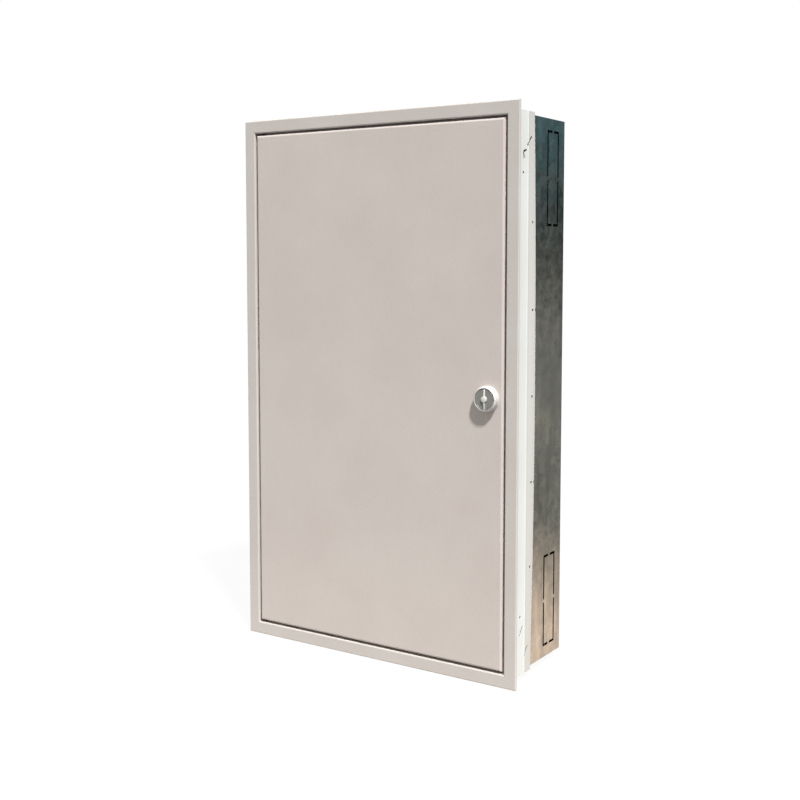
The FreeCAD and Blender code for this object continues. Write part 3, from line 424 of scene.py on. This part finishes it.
def islands(node):
    """Boxes round the separate solids of a CAD node."""
    copy = bmesh.new()
    copy.from_mesh(frame["nodes"][node].data)
    bmesh.ops.remove_doubles(copy, verts=copy.verts, dist=0.01 * MM)
    boxes = []
    unseen = set(copy.verts)
    while unseen:
        front = [unseen.pop()]
        solid = list(front)
        while front:
            vertex = front.pop()
            fresh = {edge.other_vert(vertex) for edge in vertex.link_edges} & unseen
            unseen -= fresh
            front += fresh
            solid += fresh
        low = Vector([min(vertex.co[axis] for vertex in solid) for axis in range(3)])
        high = Vector([max(vertex.co[axis] for vertex in solid) for axis in range(3)])
        boxes.append((low, high))
    copy.free()
    return sorted(boxes, key=lambda box: (round(box[0].z, 3), round(box[0].x, 3)))


def slot_of(node):
    parts = frame["record"]["subparts"]
    return next(part["material_slot"] for part in parts if part["node"] == node)


def body_of(node):
    bodies = frame["record"]["behaviour"]["bodies"]
    return next(body for body, members in bodies.items() if node in members)


# Mesh helpers.

def rounded(points, radii, steps=CORNER_STEPS):
    """Closed outline in a plane with an arc at each corner whose radius isn't zero."""
    outline = []
    count = len(points)
    for k, radius in enumerate(radii):
        corner = Vector(points[k])
        before = (Vector(points[k - 1]) - corner).normalized()
        after = (Vector(points[(k + 1) % count]) - corner).normalized()
        if radius == 0:
            outline.append(corner)
            continue
        half = before.angle(after) / 2
        reach = radius / math.tan(half)
        middle = corner + (before + after).normalized() * (radius / math.sin(half))
        start = corner + before * reach - middle
        end = corner + after * reach - middle
        for step in range(steps + 1):
            outline.append(middle + start.slerp(end, step / steps) * radius)
    return outline


def loft(build, loops, closed=False):
    """Bridge loops of equally many points, and cap the two ends unless the run is closed."""
    rows = [[build.verts.new(point) for point in loop] for loop in loops]
    pairs = list(zip(rows, rows[1:]))
    if closed:
        pairs.append((rows[-1], rows[0]))
    else:
        build.faces.new(rows[0])
        build.faces.new(rows[-1])
    for row, following in pairs:
        for i in range(len(row)):
            j = (i + 1) % len(row)
            build.faces.new([row[i], row[j], following[j], following[i]])


def rings(stations, points=RING_POINTS):
    """Loops round the depth axis at (reach, depth) stations in millimetres.

    A reach is a radius or a function of the angle that gives one.
    """
    loops = []
    for reach, depth in stations:
        loop = []
        for k in range(points):
            angle = 2 * math.pi * k / points
            radius = reach(angle) if callable(reach) else reach
            loop.append(Vector((radius * math.cos(angle), depth, radius * math.sin(angle))) * MM)
        loops.append(loop)
    return loops


def flats(size, sides, limit=math.inf):
    """Outline with flats, by its size across them, cut off at a radius where it has a limit."""
    step = 2 * math.pi / sides
    turn = step / 2 if sides == 6 else 0

    def reach(angle):
        local = (angle - turn + step / 2) % step - step / 2
        return min(size / 2 / math.cos(local), limit)

    return reach


def cross(length, width):
    """Outline of a cross recess."""

    def reach(angle):
        side = abs(math.sin((angle + math.pi / 4) % (math.pi / 2) - math.pi / 4))
        return length / 2 if side * length < width else width / 2 / side

    return reach


def smooth(mesh, angle=30):
    """Smooth shading with sharp edges where the faces turn by more than an angle."""
    mesh.shade_smooth()
    mesh.set_sharp_from_angle(angle=math.radians(angle))


def settle(build, name, material):
    """Make a linked mesh object from a bmesh, with its faces outwards."""
    mesh = bpy.data.meshes.new(name)
    bmesh.ops.remove_doubles(build, verts=build.verts, dist=1e-6)
    bmesh.ops.recalc_face_normals(build, faces=build.faces)
    build.to_mesh(mesh)
    build.free()
    mesh.materials.append(material)
    smooth(mesh)
    piece = bpy.data.objects.new(name, mesh)
    bpy.context.scene.collection.objects.link(piece)
    return piece


def shift(build, place, turn=None):
    """Turn a bmesh about the origin and move it to its place."""
    if turn is not None:
        bmesh.ops.transform(build, matrix=turn, verts=build.verts)
    bmesh.ops.translate(build, verts=build.verts, vec=place)


def stand_for(piece, node):
    """The piece takes a CAD node's place and joins its body, and the node is hidden."""
    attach(piece, body_of(node))
    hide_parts(node)


# Fasteners about the depth axis, the front of the head at 0.

def threaded(radius, start, end, pitch=0.8, groove=0.35):
    """Stations of a thread, from its far end back to its start."""
    stations = [(radius - 0.5, end), (radius, end - 0.5)]
    depth = end - 0.5 - pitch / 2
    while depth > start + pitch:
        stations += [(radius - groove, depth), (radius, depth - pitch / 2)]
        depth -= pitch
    return stations + [(radius - groove, start + 0.3), (radius - groove, start)]


def hex_screw(size, head, radius, length):
    """Hexagon screw with chamfered corners and a dished top."""
    full = flats(size, 6)
    stations = threaded(radius, head, head + length)
    stations += [(size * 0.48, head), (full, head - 0.15), (full, 0.6)]
    stations += [(flats(size, 6, size * 0.51), 0.15), (size * 0.47, 0)]
    stations += [(size * 0.3, 0), (size * 0.24, 0.3)]
    return rings(stations)


def arc(radius, height, angles):
    """Stations of a dome's edge, from its foot to near its top at depth 0."""
    turns = [math.radians(angle) for angle in angles]
    return [(radius * math.cos(turn), height * (1 - math.sin(turn))) for turn in turns]


def pan_screw(head_radius, head, radius, length):
    """Pan head screw with a cross recess."""
    arm = head_radius * 0.95
    stations = threaded(radius, head, head + length)
    stations += [(head_radius, head), (head_radius, head * 0.55)]
    stations += arc(head_radius, head * 0.55, (20, 38, 54))
    stations += [(cross(arm, arm * 0.3), 0.1), (cross(arm * 0.8, arm * 0.24), head * 0.6)]
    return rings(stations)


def nut(size, sides, height, bore):
    """Nut with chamfered corners and bore, open right through."""
    soft = flats(size, sides, size * 0.485 / math.cos(math.pi / sides))
    blunt = flats(size, sides, size * 0.51)
    return rings([
        (blunt, 0), (soft, 0.5), (soft, height - 0.5), (blunt, height),
        (bore + 0.4, height), (bore, height - 0.4), (bore, 0.4), (bore + 0.4, 0),
    ])


def washer(radius, height, bore):
    """Flat washer with broken edges."""
    return rings([
        (radius - 0.25, 0), (radius, 0.25), (radius, height - 0.25), (radius - 0.25, height),
        (bore, height), (bore, 0),
    ])


def domed(radius, height, shank_radius, length):
    """Rivet or buffer with a domed head in front of a plain shank."""
    stations = [(shank_radius - 0.3, length), (shank_radius, length - 0.3)]
    stations += [(shank_radius, height), (radius - 0.2, height), (radius, height - 0.2)]
    return rings(stations + arc(radius, height * 0.6, (0, 18, 36, 54, 70)))


def spot_weld(radius=2.6, height=0.16):
    """Shallow round mark that a spot welder's tip leaves, raised from 0 towards the front."""
    return rings([
        (radius, 0.3), (radius, 0), (radius * 0.86, -height), (radius * 0.6, -height),
        (radius * 0.45, -height * 0.3),
    ], points=WELD_POINTS)


# Repeats.

def make_repeat_tree():
    """Geometry Nodes: a copy of a part at each place, turned a little at random."""
    tree = bpy.data.node_groups.new("repeat_part", "GeometryNodeTree")
    sockets = {
        "Places": "NodeSocketGeometry",
        "Part": "NodeSocketObject",
        "Largest Turn": "NodeSocketFloat",
        "Seed": "NodeSocketInt",
        "Finish": "NodeSocketMaterial",
    }
    for name, kind in sockets.items():
        tree.interface.new_socket(name, in_out="INPUT", socket_type=kind)
    tree.interface.new_socket("Pieces", in_out="OUTPUT", socket_type="NodeSocketGeometry")

    add = partial(add_node, tree)
    given = add("NodeGroupInput").outputs
    part = add("GeometryNodeObjectInfo", {"Object": given["Part"]})
    back = add("ShaderNodeMath", {0: given["Largest Turn"], 1: -1.0}, operation="MULTIPLY")
    least = add("ShaderNodeCombineXYZ", {"Y": back.outputs[0]})
    most = add("ShaderNodeCombineXYZ", {"Y": given["Largest Turn"]})
    turn = add("FunctionNodeRandomValue", data_type="FLOAT_VECTOR")
    tree.links.new(least.outputs[0], turn.inputs[0])
    tree.links.new(most.outputs[0], turn.inputs[1])
    tree.links.new(given["Seed"], turn.inputs["Seed"])
    copies = add(
        "GeometryNodeInstanceOnPoints",
        {
            "Points": given["Places"],
            "Instance": part.outputs["Geometry"],
            "Rotation": turn.outputs[0],
        },
    )
    real = add("GeometryNodeRealizeInstances", {"Geometry": copies.outputs["Instances"]})
    painted = add(
        "GeometryNodeSetMaterial",
        {"Geometry": real.outputs["Geometry"], "Material": given["Finish"]},
    )
    add("NodeGroupOutput", {"Pieces": painted.outputs["Geometry"]})
    return tree


class Repeater:
    """Puts a part at several places with one Geometry Nodes tree and keeps the plain mesh."""

    def __init__(self, materials):
        self.materials = materials
        self.tree = make_repeat_tree()
        self.sockets = {
            item.name: item.identifier
            for item in self.tree.interface.items_tree
            if item.in_out == "INPUT"
        }
        self.seed = 0

    def pieces(self, name, loops, places, slot, closed=False, turn=0.0, facing=None):
        """Copies of a lofted part at places, as one object with one slot's material."""
        build = bmesh.new()
        loft(build, loops, closed)
        shift(build, Vector(), facing)
        part = settle(build, f"{name}_part", self.materials[slot])
        mesh = bpy.data.meshes.new(f"{name}_places")
        mesh.from_pydata([tuple(place) for place in places], [], [])
        piece = bpy.data.objects.new(name, mesh)
        bpy.context.scene.collection.objects.link(piece)
        self.seed += 1
        repeat = piece.modifiers.new("repeat", "NODES")
        repeat.node_group = self.tree
        repeat[self.sockets["Part"]] = part
        repeat[self.sockets["Largest Turn"]] = turn
        repeat[self.sockets["Seed"]] = self.seed
        repeat[self.sockets["Finish"]] = self.materials[slot]
        keep_plain_mesh(piece)
        bpy.data.objects.remove(part)
        return piece

    def replace(self, name, node, loops, **settings):
        """A part for each solid of a CAD node, at the middle of the solid's front."""
        places = [
            Vector(((low.x + high.x) / 2, low.y, (low.z + high.z) / 2))
            for low, high in islands(node)
        ]
        stand_for(self.pieces(name, loops, places, slot_of(node), **settings), node)


def keep_plain_mesh(piece):
    """Take the result of the piece's modifiers as its mesh and remove them."""
    view = bpy.context.evaluated_depsgraph_get()
    result = bpy.data.meshes.new_from_object(piece.evaluated_get(view))
    result.name = piece.name
    piece.modifiers.clear()
    piece.data = result


def make_fasteners(repeater):
    """Screws, nuts, rivets and buffers in place of the solids that have few sides."""
    hexagon = hex_screw(**HEX_SCREW)
    repeater.replace("rail_screws_hex", "rail_screws", hexagon, turn=SCREW_SPIN)
    repeater.replace("support_screws_hex", "support_screws", hexagon, turn=SCREW_SPIN)
    repeater.replace(
        "adjusting_screws_pan", "adjusting_screws", pan_screw(**ADJUSTING_SCREW), turn=math.pi
    )
    low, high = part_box("cam_screw")
    back = (high.y - low.y) * Vector((0, 1, 0))
    turned = [
        [back + Vector((point.x, -point.y, point.z)) for point in loop]
        for loop in pan_screw(**CAM_SCREW)
    ]
    repeater.replace("cam_screw_pan", "cam_screw", turned)
    for name, size in SQUARE_NUT_SIZES.items():
        loops = nut(size, **SQUARE_NUT)
        repeater.replace(f"{name}_square", name, loops, closed=True, turn=NUT_SPIN)
    repeater.replace("strike_rivets_domed", "strike_rivets", domed(**STRIKE_RIVET))
    repeater.replace("door_buffers_domed", "door_buffers", domed(**DOOR_BUFFER))


def make_welds(repeater):
    """Spot weld marks on the flanges of the door's stiffeners and the feet of the supports."""
    edge = WELD_EDGE * MM
    margin = WELD_MARGIN * MM
    places = []
    for low, high in islands("door_stiffeners"):
        span = high.z - low.z - 2 * margin
        for across in (low.x + edge, high.x - edge):
            for k in range(WELD_ROWS):
                height = low.z + margin + span * k / (WELD_ROWS - 1)
                places.append(Vector((across, low.y + STIFFENER_SHEET * MM, height)))
    backwards = Matrix.Rotation(math.pi, 4, "Z")
    welds = repeater.pieces(
        "stiffener_welds", spot_weld(), places, "door_paint", facing=backwards
    )
    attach(welds, "door")
    inset = FOOT_WELD_INSET * MM
    places = []
    for low, high in islands("upright_supports"):
        height = low.z + inset if low.z > 0 else high.z - inset
        middle = (low.x + high.x) / 2
        for aside in (-FOOT_WELD_ASIDE, FOOT_WELD_ASIDE):
            places.append(Vector((middle + aside * MM, FOOT_WELD_DEPTH * MM, height)))
    welds = repeater.pieces("support_welds", spot_weld(), places, "galvanised_sheet")
    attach(welds, "trough")


# Lock pieces.

def turn_lock_piece(name, node, stations, material, closed=False):
    """Turn stations about the lock's axis, in place of a CAD node."""
    centre = centre_of("lock_disc")
    build = bmesh.new()
    loft(build, rings(stations, TURNED_POINTS), closed)
    shift(build, Vector((centre.x, 0, centre.z)))
    stand_for(settle(build, name, material), node)


def make_lock_housing(material):
    """Round knob housing with a bevelled rim, a shallow recess and an index notch."""
    low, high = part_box("lock_housing")
    base = (high.x - low.x) / 2 / MM
    rim = base - LOCK_RIM_STEP
    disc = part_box("lock_disc")
    recess = (disc[1].x - disc[0].x) / 2 / MM + 0.2
    front = low.y / MM
    back = high.y / MM
    foot = -FRONT - LOCK_BASE_HEIGHT
    floor = DISC_BACK + 0.1
    points = [
        (SPINDLE_BORE, back), (LOCK_BARREL_RADIUS, back), (LOCK_BARREL_RADIUS, -FRONT),
        (base, -FRONT), (base, foot), (rim, foot - 0.3), (rim, front + RIM_BEVEL),
        (recess + RIM_FACE, front), (recess, front), (recess, floor), (SPINDLE_BORE, floor),
    ]
    radii = [0.2, 0.4, 0, 0, 0.4, 0, 0.9, 0.5, 0.2, 0.2, 0.2]

    def notched(radius):
        def reach(angle):
            away = min(angle, 2 * math.pi - angle)
            return max(radius, recess + NOTCH_DEPTH * (1 - away / NOTCH_ANGLE))

        return reach

    stations = [
        (notched(x) if y < front + 1 else x, y) for x, y in rounded(points, radii)
    ]
    turn_lock_piece("lock_housing_turned", "lock_housing", stations, material, closed=True)


def make_lock_disc(material):
    """Disc with a rounded edge and one groove, on its spindle with a square end."""
    low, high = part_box("lock_disc")
    radius = (high.x - low.x) / 2 / MM
    front = low.y / MM
    square = flats(SPINDLE_SQUARE, 4)
    stations = [
        (square, high.y / MM), (square, CAM_FRONT), (SPINDLE_RADIUS, CAM_FRONT),
        (SPINDLE_RADIUS, DISC_BACK), (radius - 0.3, DISC_BACK), (radius, DISC_BACK - 0.3),
        (radius, front + 0.45),
        (radius - 0.15, front + 0.15), (radius - 0.5, front), (radius - 1.6, front),
        (radius - 1.8, front + 0.25), (radius - 2.3, front + 0.25), (radius - 2.5, front),
    ]
    turn_lock_piece("lock_disc_turned", "lock_disc", stations, material)


def make_lock_grip(material):
    """Raised bar that falls away to both ends, with a low domed boss in the middle."""
    low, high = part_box("lock_grip")
    centre = centre_of("lock_disc")
    base = high.y / MM
    half_length = (high.z - low.z) / 2 / MM
    boss_radius = (high.x - low.x) / 2 / MM
    build = bmesh.new()
    bar = []
    for k in range(SPAN_STEPS + 1):
        along = half_length * (2 * k / SPAN_STEPS - 1)
        height = GRIP_END + (GRIP_CREST - GRIP_END) * (1 - abs(along) / half_length)
        into_end = max(0.0, (abs(along) - half_length) / GRIP_END_RUN + 1)
        wide = GRIP_HALF_WIDTH * (1 - 0.5 * into_end ** 2)
        side = [(wide, -0.2), (wide, height * 0.6), (wide - 0.15, height * 0.9)]
        side.append((wide - 0.45, height))
        section = side + [(-x, y) for x, y in reversed(side)]
        bar.append([Vector((x, base - y, along)) * MM for x, y in section])
    loft(build, bar)
    crown = base - BOSS_SIDE - BOSS_DOME
    boss = [(boss_radius, base + 0.2), (boss_radius, base - BOSS_SIDE)]
    dome = arc(boss_radius, BOSS_DOME, (15, 35, 55, 75))
    boss += [(reach, crown + depth) for reach, depth in dome]
    loft(build, rings(boss))
    shift(build, Vector((centre.x, 0, centre.z)))
    stand_for(settle(build, "lock_grip_raised", material), "lock_grip")


def make_cam(material):
    """Cam arm with rounded corners, broken edges and a square hole."""
    low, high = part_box("lock_cam")
    centre = centre_of("lock_disc")
    side = (high.x - low.x) / 2 / MM
    reach = (high.z - centre.z) / MM
    corners = [
        (-side, -side), (side, -side), (side, side), (5.5, reach), (-5.5, reach), (-side, side)
    ]
    outline = rounded(corners, [4, 4, 6, 2.5, 2.5, 6])
    square = flats(SPINDLE_SQUARE, 4)
    hole = []
    for point in outline:
        angle = math.atan2(point.y, point.x)
        hole.append(Vector((math.cos(angle), math.sin(angle))) * square(angle % (2 * math.pi)))
    front = low.y / MM
    back = high.y / MM
    loops = [
        [Vector((p.x * scale, depth, p.y * scale)) * MM for p in points]
        for points, depth, scale in (
            (hole, front, 1), (outline, front, 0.96), (outline, front + 0.35, 1),
            (outline, back - 0.35, 1), (outline, back, 0.96), (hole, back, 1),
        )
    ]
    build = bmesh.new()
    loft(build, loops, closed=True)
    shift(build, Vector((centre.x, 0, centre.z)))
    stand_for(settle(build, "lock_cam_arm", material), "lock_cam")


def make_single_fasteners(material):
    """The lock's nut and washer, and the earth stud with its washer and nut."""
    thread = threaded(EARTH_STUD_RADIUS, 2, EARTH_STUD_LENGTH, pitch=1.0)
    stud = [(reach, EARTH_STUD_LENGTH - depth) for reach, depth in thread]
    stud.append((EARTH_STUD_RADIUS, EARTH_STUD_LENGTH - EARTH_STUD_ROOT))
    stud.append((EARTH_STUD_RADIUS, EARTH_STUD_LENGTH))
    for name, node, loops, closed in (
        ("lock_nut_hex", "lock_nut", nut(**LOCK_NUT), True),
        ("cam_washer_turned", "cam_washer", washer(**CAM_WASHER), True),
        ("earth_washer_turned", "earth_washer", washer(**EARTH_WASHER), True),
        ("earth_nut_hex", "earth_nut", nut(**EARTH_NUT), True),
        ("earth_stud_threaded", "earth_stud", rings(stud), False),
    ):
        low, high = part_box(node)
        build = bmesh.new()
        loft(build, loops, closed)
        shift(build, Vector(((low.x + high.x) / 2, low.y, (low.z + high.z) / 2)))
        stand_for(settle(build, name, material), node)


# Hinges.

def make_hinge_pins(material):
    """Loose pins with a smooth bend into the handle."""
    build = bmesh.new()
    for low, high in islands("hinge_pins"):
        sign = 1 if low.z > 0 else -1
        radius = (high.y - low.y) / 2 / MM
        depth = (high.y + low.y) / 2 / MM
        left = low.x / MM + radius
        right = high.x / MM
        ends = sorted((low.z / MM, high.z / MM), key=abs)
        elbow = ends[0] + sign * radius
        path = [(left, ends[1]), (left, ends[1] - sign * PIN_CHAMFER)]
        for k in range(BEND_STEPS + 1):
            turn = math.radians(90 * k / BEND_STEPS)
            across = left + PIN_BEND * (1 - math.cos(turn))
            path.append((across, elbow + sign * PIN_BEND * (1 - math.sin(turn))))
        path += [(right - PIN_CHAMFER, elbow), (right, elbow)]
        loops = []
        for k, (x, z) in enumerate(path):
            before = Vector(path[max(k - 1, 0)])
            after = Vector(path[min(k + 1, len(path) - 1)])
            heading = (after - before).normalized()
            reach = radius - PIN_CHAMFER if k in (0, len(path) - 1) else radius
            loop = []
            for step in range(PIN_POINTS):
                angle = 2 * math.pi * step / PIN_POINTS
                aside = reach * math.cos(angle)
                back = depth + reach * math.sin(angle)
                place = Vector((x - heading.y * aside, back, z + heading.x * aside))
                loop.append(place * MM)
            loops.append(loop)
        loft(build, loops)
    stand_for(settle(build, "hinge_pins_bent", material), "hinge_pins")


def make_hinge_bushes(material):
    """Flanged bushes that the pins turn in, their flanges towards the door."""
    build = bmesh.new()
    for low, high in islands("hinge_bushes"):
        height = (high.z - low.z) / MM
        flange = height - FRAME_SHEET
        broken = BUSH_FLANGE_RADIUS - 0.2
        stations = [
            (broken, 0), (BUSH_FLANGE_RADIUS, 0.2), (BUSH_FLANGE_RADIUS, flange - 0.2),
            (broken, flange), (BUSH_RADIUS, flange), (BUSH_RADIUS, height),
            (BUSH_BORE, height), (BUSH_BORE, 0),
        ]
        middle = (low + high) / 2
        sign = 1 if low.z > 0 else -1
        foot = low.z if sign > 0 else high.z
        loops = [
            [Vector((middle.x + p.x, middle.y + p.z, foot + sign * p.y)) for p in loop]
            for loop in rings(stations)
        ]
        loft(build, loops, closed=True)
    stand_for(settle(build, "hinge_bushes_turned", material), "hinge_bushes")


# Rolled and folded sheet.

def make_rails(material):
    """Top-hat rails with rolled corners."""
    wide = RAIL_WIDTH / 2
    crown = RAIL_CROWN / 2
    inner = crown - RAIL_SHEET
    for number in range(1, RAILS + 1):
        node = f"din_rail_{number}"
        low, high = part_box(node)
        front = low.y / MM
        back = high.y / MM
        middle = (low.z + high.z) / 2 / MM
        lip = front + RAIL_SHEET
        half = [(wide, front, 0.3), (inner, front, 1.3), (inner, back - RAIL_SHEET, 0.4)]
        rear_half = [(crown, back, 1.4), (crown, lip, 0.3), (wide, lip, 0.3)]
        corners = half + [(-up, depth, radius) for up, depth, radius in reversed(half)]
        corners += [(-up, depth, radius) for up, depth, radius in reversed(rear_half)]
        corners += rear_half
        points = [(up, depth) for up, depth, _ in corners]
        radii = [radius for *_, radius in corners]
        outline = rounded(points, radii, RAIL_CORNER_STEPS)
        build = bmesh.new()
        loft(
            build,
            [
                [Vector((x / MM, point.y, middle + point.x)) * MM for point in outline]
                for x in (low.x, high.x)
            ],
        )
        stand_for(settle(build, f"{node}_rolled", material), node)


def collar_section(bow):
    """Section of a collar strip as (reach, height): the outer face and the inner face back."""
    outer = []
    for reach, ridge in COLLAR_RIDGE:
        share = max(0.0, (reach - COLLAR_FOLD) / (COLLAR_REACH - COLLAR_FOLD))
        outer.append((reach, ridge + bow * math.sin(share * math.pi / 2)))
    return outer + [(reach, height - COLLAR_SHEET) for reach, height in reversed(outer)]


def punch(piece, punches, across):
    """Cut round holes and slots with round ends through a sheet piece along X."""
    tools = bmesh.new()
    for run, radius in punches:
        first, last = Vector(run[0]), Vector(run[-1])
        start = math.atan2(last.y - first.y, last.x - first.x) + math.pi / 2
        outline = []
        for centre, turn in ((first, start), (last, start + math.pi)):
            for k in range(PUNCH_STEPS + 1):
                angle = turn + math.pi * k / PUNCH_STEPS
                outline.append(centre + Vector((math.cos(angle), math.sin(angle))) * radius)
        loft(tools, [[Vector((x, p.x - FRONT, p.y)) * MM for p in outline] for x in across])
    tool = settle(tools, "punch", piece.data.materials[0])
    cut = piece.modifiers.new("punch", "BOOLEAN")
    cut.operation = "DIFFERENCE"
    cut.solver = "EXACT"
    cut.object = tool
    keep_plain_mesh(piece)
    smooth(piece.data)
    bpy.data.objects.remove(tool)


def make_collar(material):
    """Bowed sides and flat ends with a pressed ridge along the fold, and punched openings."""
    low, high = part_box("collar_top")
    half_height = high.z / MM
    half_width = high.x / MM + COLLAR_SHEET
    for node, side in (("collar_left", -1), ("collar_right", 1)):
        loops = []
        for k in range(SPAN_STEPS + 1):
            share = 2 * k / SPAN_STEPS - 1
            section = collar_section(COLLAR_BOW * (1 - share ** 2))
            loops.append(
                [
                    Vector((side * (half_width + out), reach - FRONT, half_height * share)) * MM
                    for reach, out in section
                ]
            )
        build = bmesh.new()
        loft(build, loops)
        piece = settle(build, f"{node}_formed", material)
        across = (side * (half_width - 12), side * (half_width + 14))
        punch(piece, COLLAR_PUNCHES, across)
        punch(piece, COLLAR_SECOND_PUNCHES, across)
        stand_for(piece, node)
    for node, end in (("collar_bottom", -1), ("collar_top", 1)):
        loops = [
            [
                Vector((x / MM, reach - FRONT, end * (half_height + out))) * MM
                for reach, out in collar_section(0)
            ]
            for x in (low.x, high.x)
        ]
        build = bmesh.new()
        loft(build, loops)
        stand_for(settle(build, f"{node}_formed", material), node)


# Scene.

def make_camera():
    data = bpy.data.cameras.new("camera")
    data.lens = CAMERA_LENS
    data.shift_y = CAMERA_SHIFT_UP
    camera = bpy.data.objects.new("camera", data)
    camera.location = CAMERA_PLACE
    camera.rotation_euler = (math.radians(90) - CAMERA_PITCH, 0, CAMERA_YAW)
    bpy.context.scene.collection.objects.link(camera)
    bpy.context.scene.camera = camera


def make_key_light():
    data = bpy.data.lights.new("key", "SUN")
    data.energy = KEY_STRENGTH
    data.angle = KEY_ANGLE
    data.color = (1.0, 0.993, 0.985)
    lamp = bpy.data.objects.new("key", data)
    lamp.rotation_mode = "QUATERNION"
    lamp.rotation_quaternion = Vector(KEY_TOWARDS).to_track_quat("Z", "Y")
    bpy.context.scene.collection.objects.link(lamp)


def make_world():
    """White to the camera, a soft fill for the surfaces, and a dim far room for the metal."""
    world = bpy.data.worlds.new("studio")
    bpy.context.scene.world = world
    world.use_nodes = True
    tree = world.node_tree
    tree.nodes.clear()
    add = partial(add_node, tree)
    rays = add("ShaderNodeLightPath")
    heading = add("ShaderNodeTexCoord").outputs["Generated"]
    towards_far = add(
        "ShaderNodeVectorMath", {0: heading, 1: FAR_SIDE}, operation="DOT_PRODUCT"
    ).outputs["Value"]
    far = add(
        "ShaderNodeMapRange",
        {"Value": towards_far, "From Min": 0.1, "From Max": 0.6},
        interpolation_type="SMOOTHSTEP",
    ).outputs["Result"]
    height = add("ShaderNodeSeparateXYZ", {"Vector": heading}).outputs["Z"]
    lowest = FAR_ROOM[0][0]
    highest = FAR_ROOM[-1][0]
    level = add(
        "ShaderNodeMapRange", {"Value": height, "From Min": lowest, "From Max": highest}
    ).outputs["Result"]
    room = add("ShaderNodeValToRGB", {"Fac": level})
    stops = room.color_ramp.elements
    stops[0].color = FAR_ROOM[0][1]
    stops[1].color = FAR_ROOM[-1][1]
    for place, colour in FAR_ROOM[1:-1]:
        stops.new((place - lowest) / (highest - lowest)).color = colour
    pale = add("ShaderNodeBackground", {"Color": (0.8, 0.8, 0.8, 1.0), "Strength": 1.0})
    dim = add("ShaderNodeBackground", {"Color": room.outputs["Color"], "Strength": 1.0})
    reflected = add("ShaderNodeMixShader", {0: far, 1: pale.outputs[0], 2: dim.outputs[0]})
    fill = add(
        "ShaderNodeBackground", {"Color": (0.98, 0.985, 1.0, 1.0), "Strength": FILL_STRENGTH}
    )
    white = add("ShaderNodeBackground", {"Color": (1.0, 1.0, 1.0, 1.0), "Strength": 1.0})
    unseen = add(
        "ShaderNodeMixShader",
        {0: rays.outputs["Is Glossy Ray"], 1: fill.outputs[0], 2: reflected.outputs[0]},
    )
    seen = add(
        "ShaderNodeMixShader",
        {0: rays.outputs["Is Camera Ray"], 1: unseen.outputs[0], 2: white.outputs[0]},
    )
    add("ShaderNodeOutputWorld", {"Surface": seen.outputs[0]})


def make_floor():
    """Pale floor: near white to the camera, brightest near the object for all other rays."""
    build = bmesh.new()
    bmesh.ops.create_circle(build, cap_ends=True, segments=96, radius=FLOOR_RADIUS)
    mesh = bpy.data.meshes.new("floor")
    build.to_mesh(mesh)
    build.free()
    floor = bpy.data.objects.new("floor", mesh)
    floor.location = (0, 0, CAD_LOW.z)
    bpy.context.scene.collection.objects.link(floor)
    pale = Shader("floor", roughness=0.9, specular=0.0)
    tree = pale.tree
    pale.colour(
        pale.mix(pale.noise(3.0), (0.70, 0.70, 0.69, 1.0), (0.73, 0.73, 0.72, 1.0))
    )
    rays = pale.add("ShaderNodeLightPath").outputs
    reach = pale.length(pale.place)

    def glow(near_colour, far_colour, near_reach, far_reach):
        share = pale.spread(reach, 0.0, 1.0, near_reach, far_reach)
        return pale.add(
            "ShaderNodeEmission", {"Color": pale.mix(share, near_colour, far_colour)}
        ).outputs[0]

    def choose(factor, first, second):
        return pale.add("ShaderNodeMixShader", {0: factor, 1: first, 2: second}).outputs[0]

    horizon = pale.mix(
        pale.spread(reach, 0.0, 1.0, 2.0, 3.5), (0.26, 0.25, 0.215, 1.0), (0.38, 0.36, 0.31, 1.0)
    )
    in_metal = glow((1.18, 0.90, 0.70, 1.0), horizon, 0.4, 1.15)
    bounce = glow((0.58, 0.57, 0.55, 1.0), (0.17, 0.17, 0.17, 1.0), 0.3, 2.2)
    white = pale.add("ShaderNodeEmission").outputs[0]
    seen = choose(FLOOR_CAMERA_WHITE, pale.surface.outputs[0], white)
    unseen = choose(rays["Is Glossy Ray"], bounce, in_metal)
    both = choose(rays["Is Camera Ray"], unseen, seen)
    tree.links.new(both, tree.nodes["Material Output"].inputs["Surface"])
    mesh.materials.append(pale.material)


def main():
    bpy.context.scene.view_settings.view_transform = "Standard"
    make_camera()
    make_key_light()
    make_world()
    make_floor()
    materials = make_materials()
    paint_nodes(materials)
    make_lock_housing(materials["lock_housing"])
    make_lock_disc(materials["lock_disc"])
    make_lock_grip(materials["lock_grip"])
    zinc = materials["zinc_plated"]
    make_cam(zinc)
    make_single_fasteners(zinc)
    make_hinge_pins(zinc)
    make_hinge_bushes(materials["bush_plastic"])
    make_rails(zinc)
    make_collar(materials["collar_paint"])
    repeater = Repeater(materials)
    make_fasteners(repeater)
    make_welds(repeater)


main()
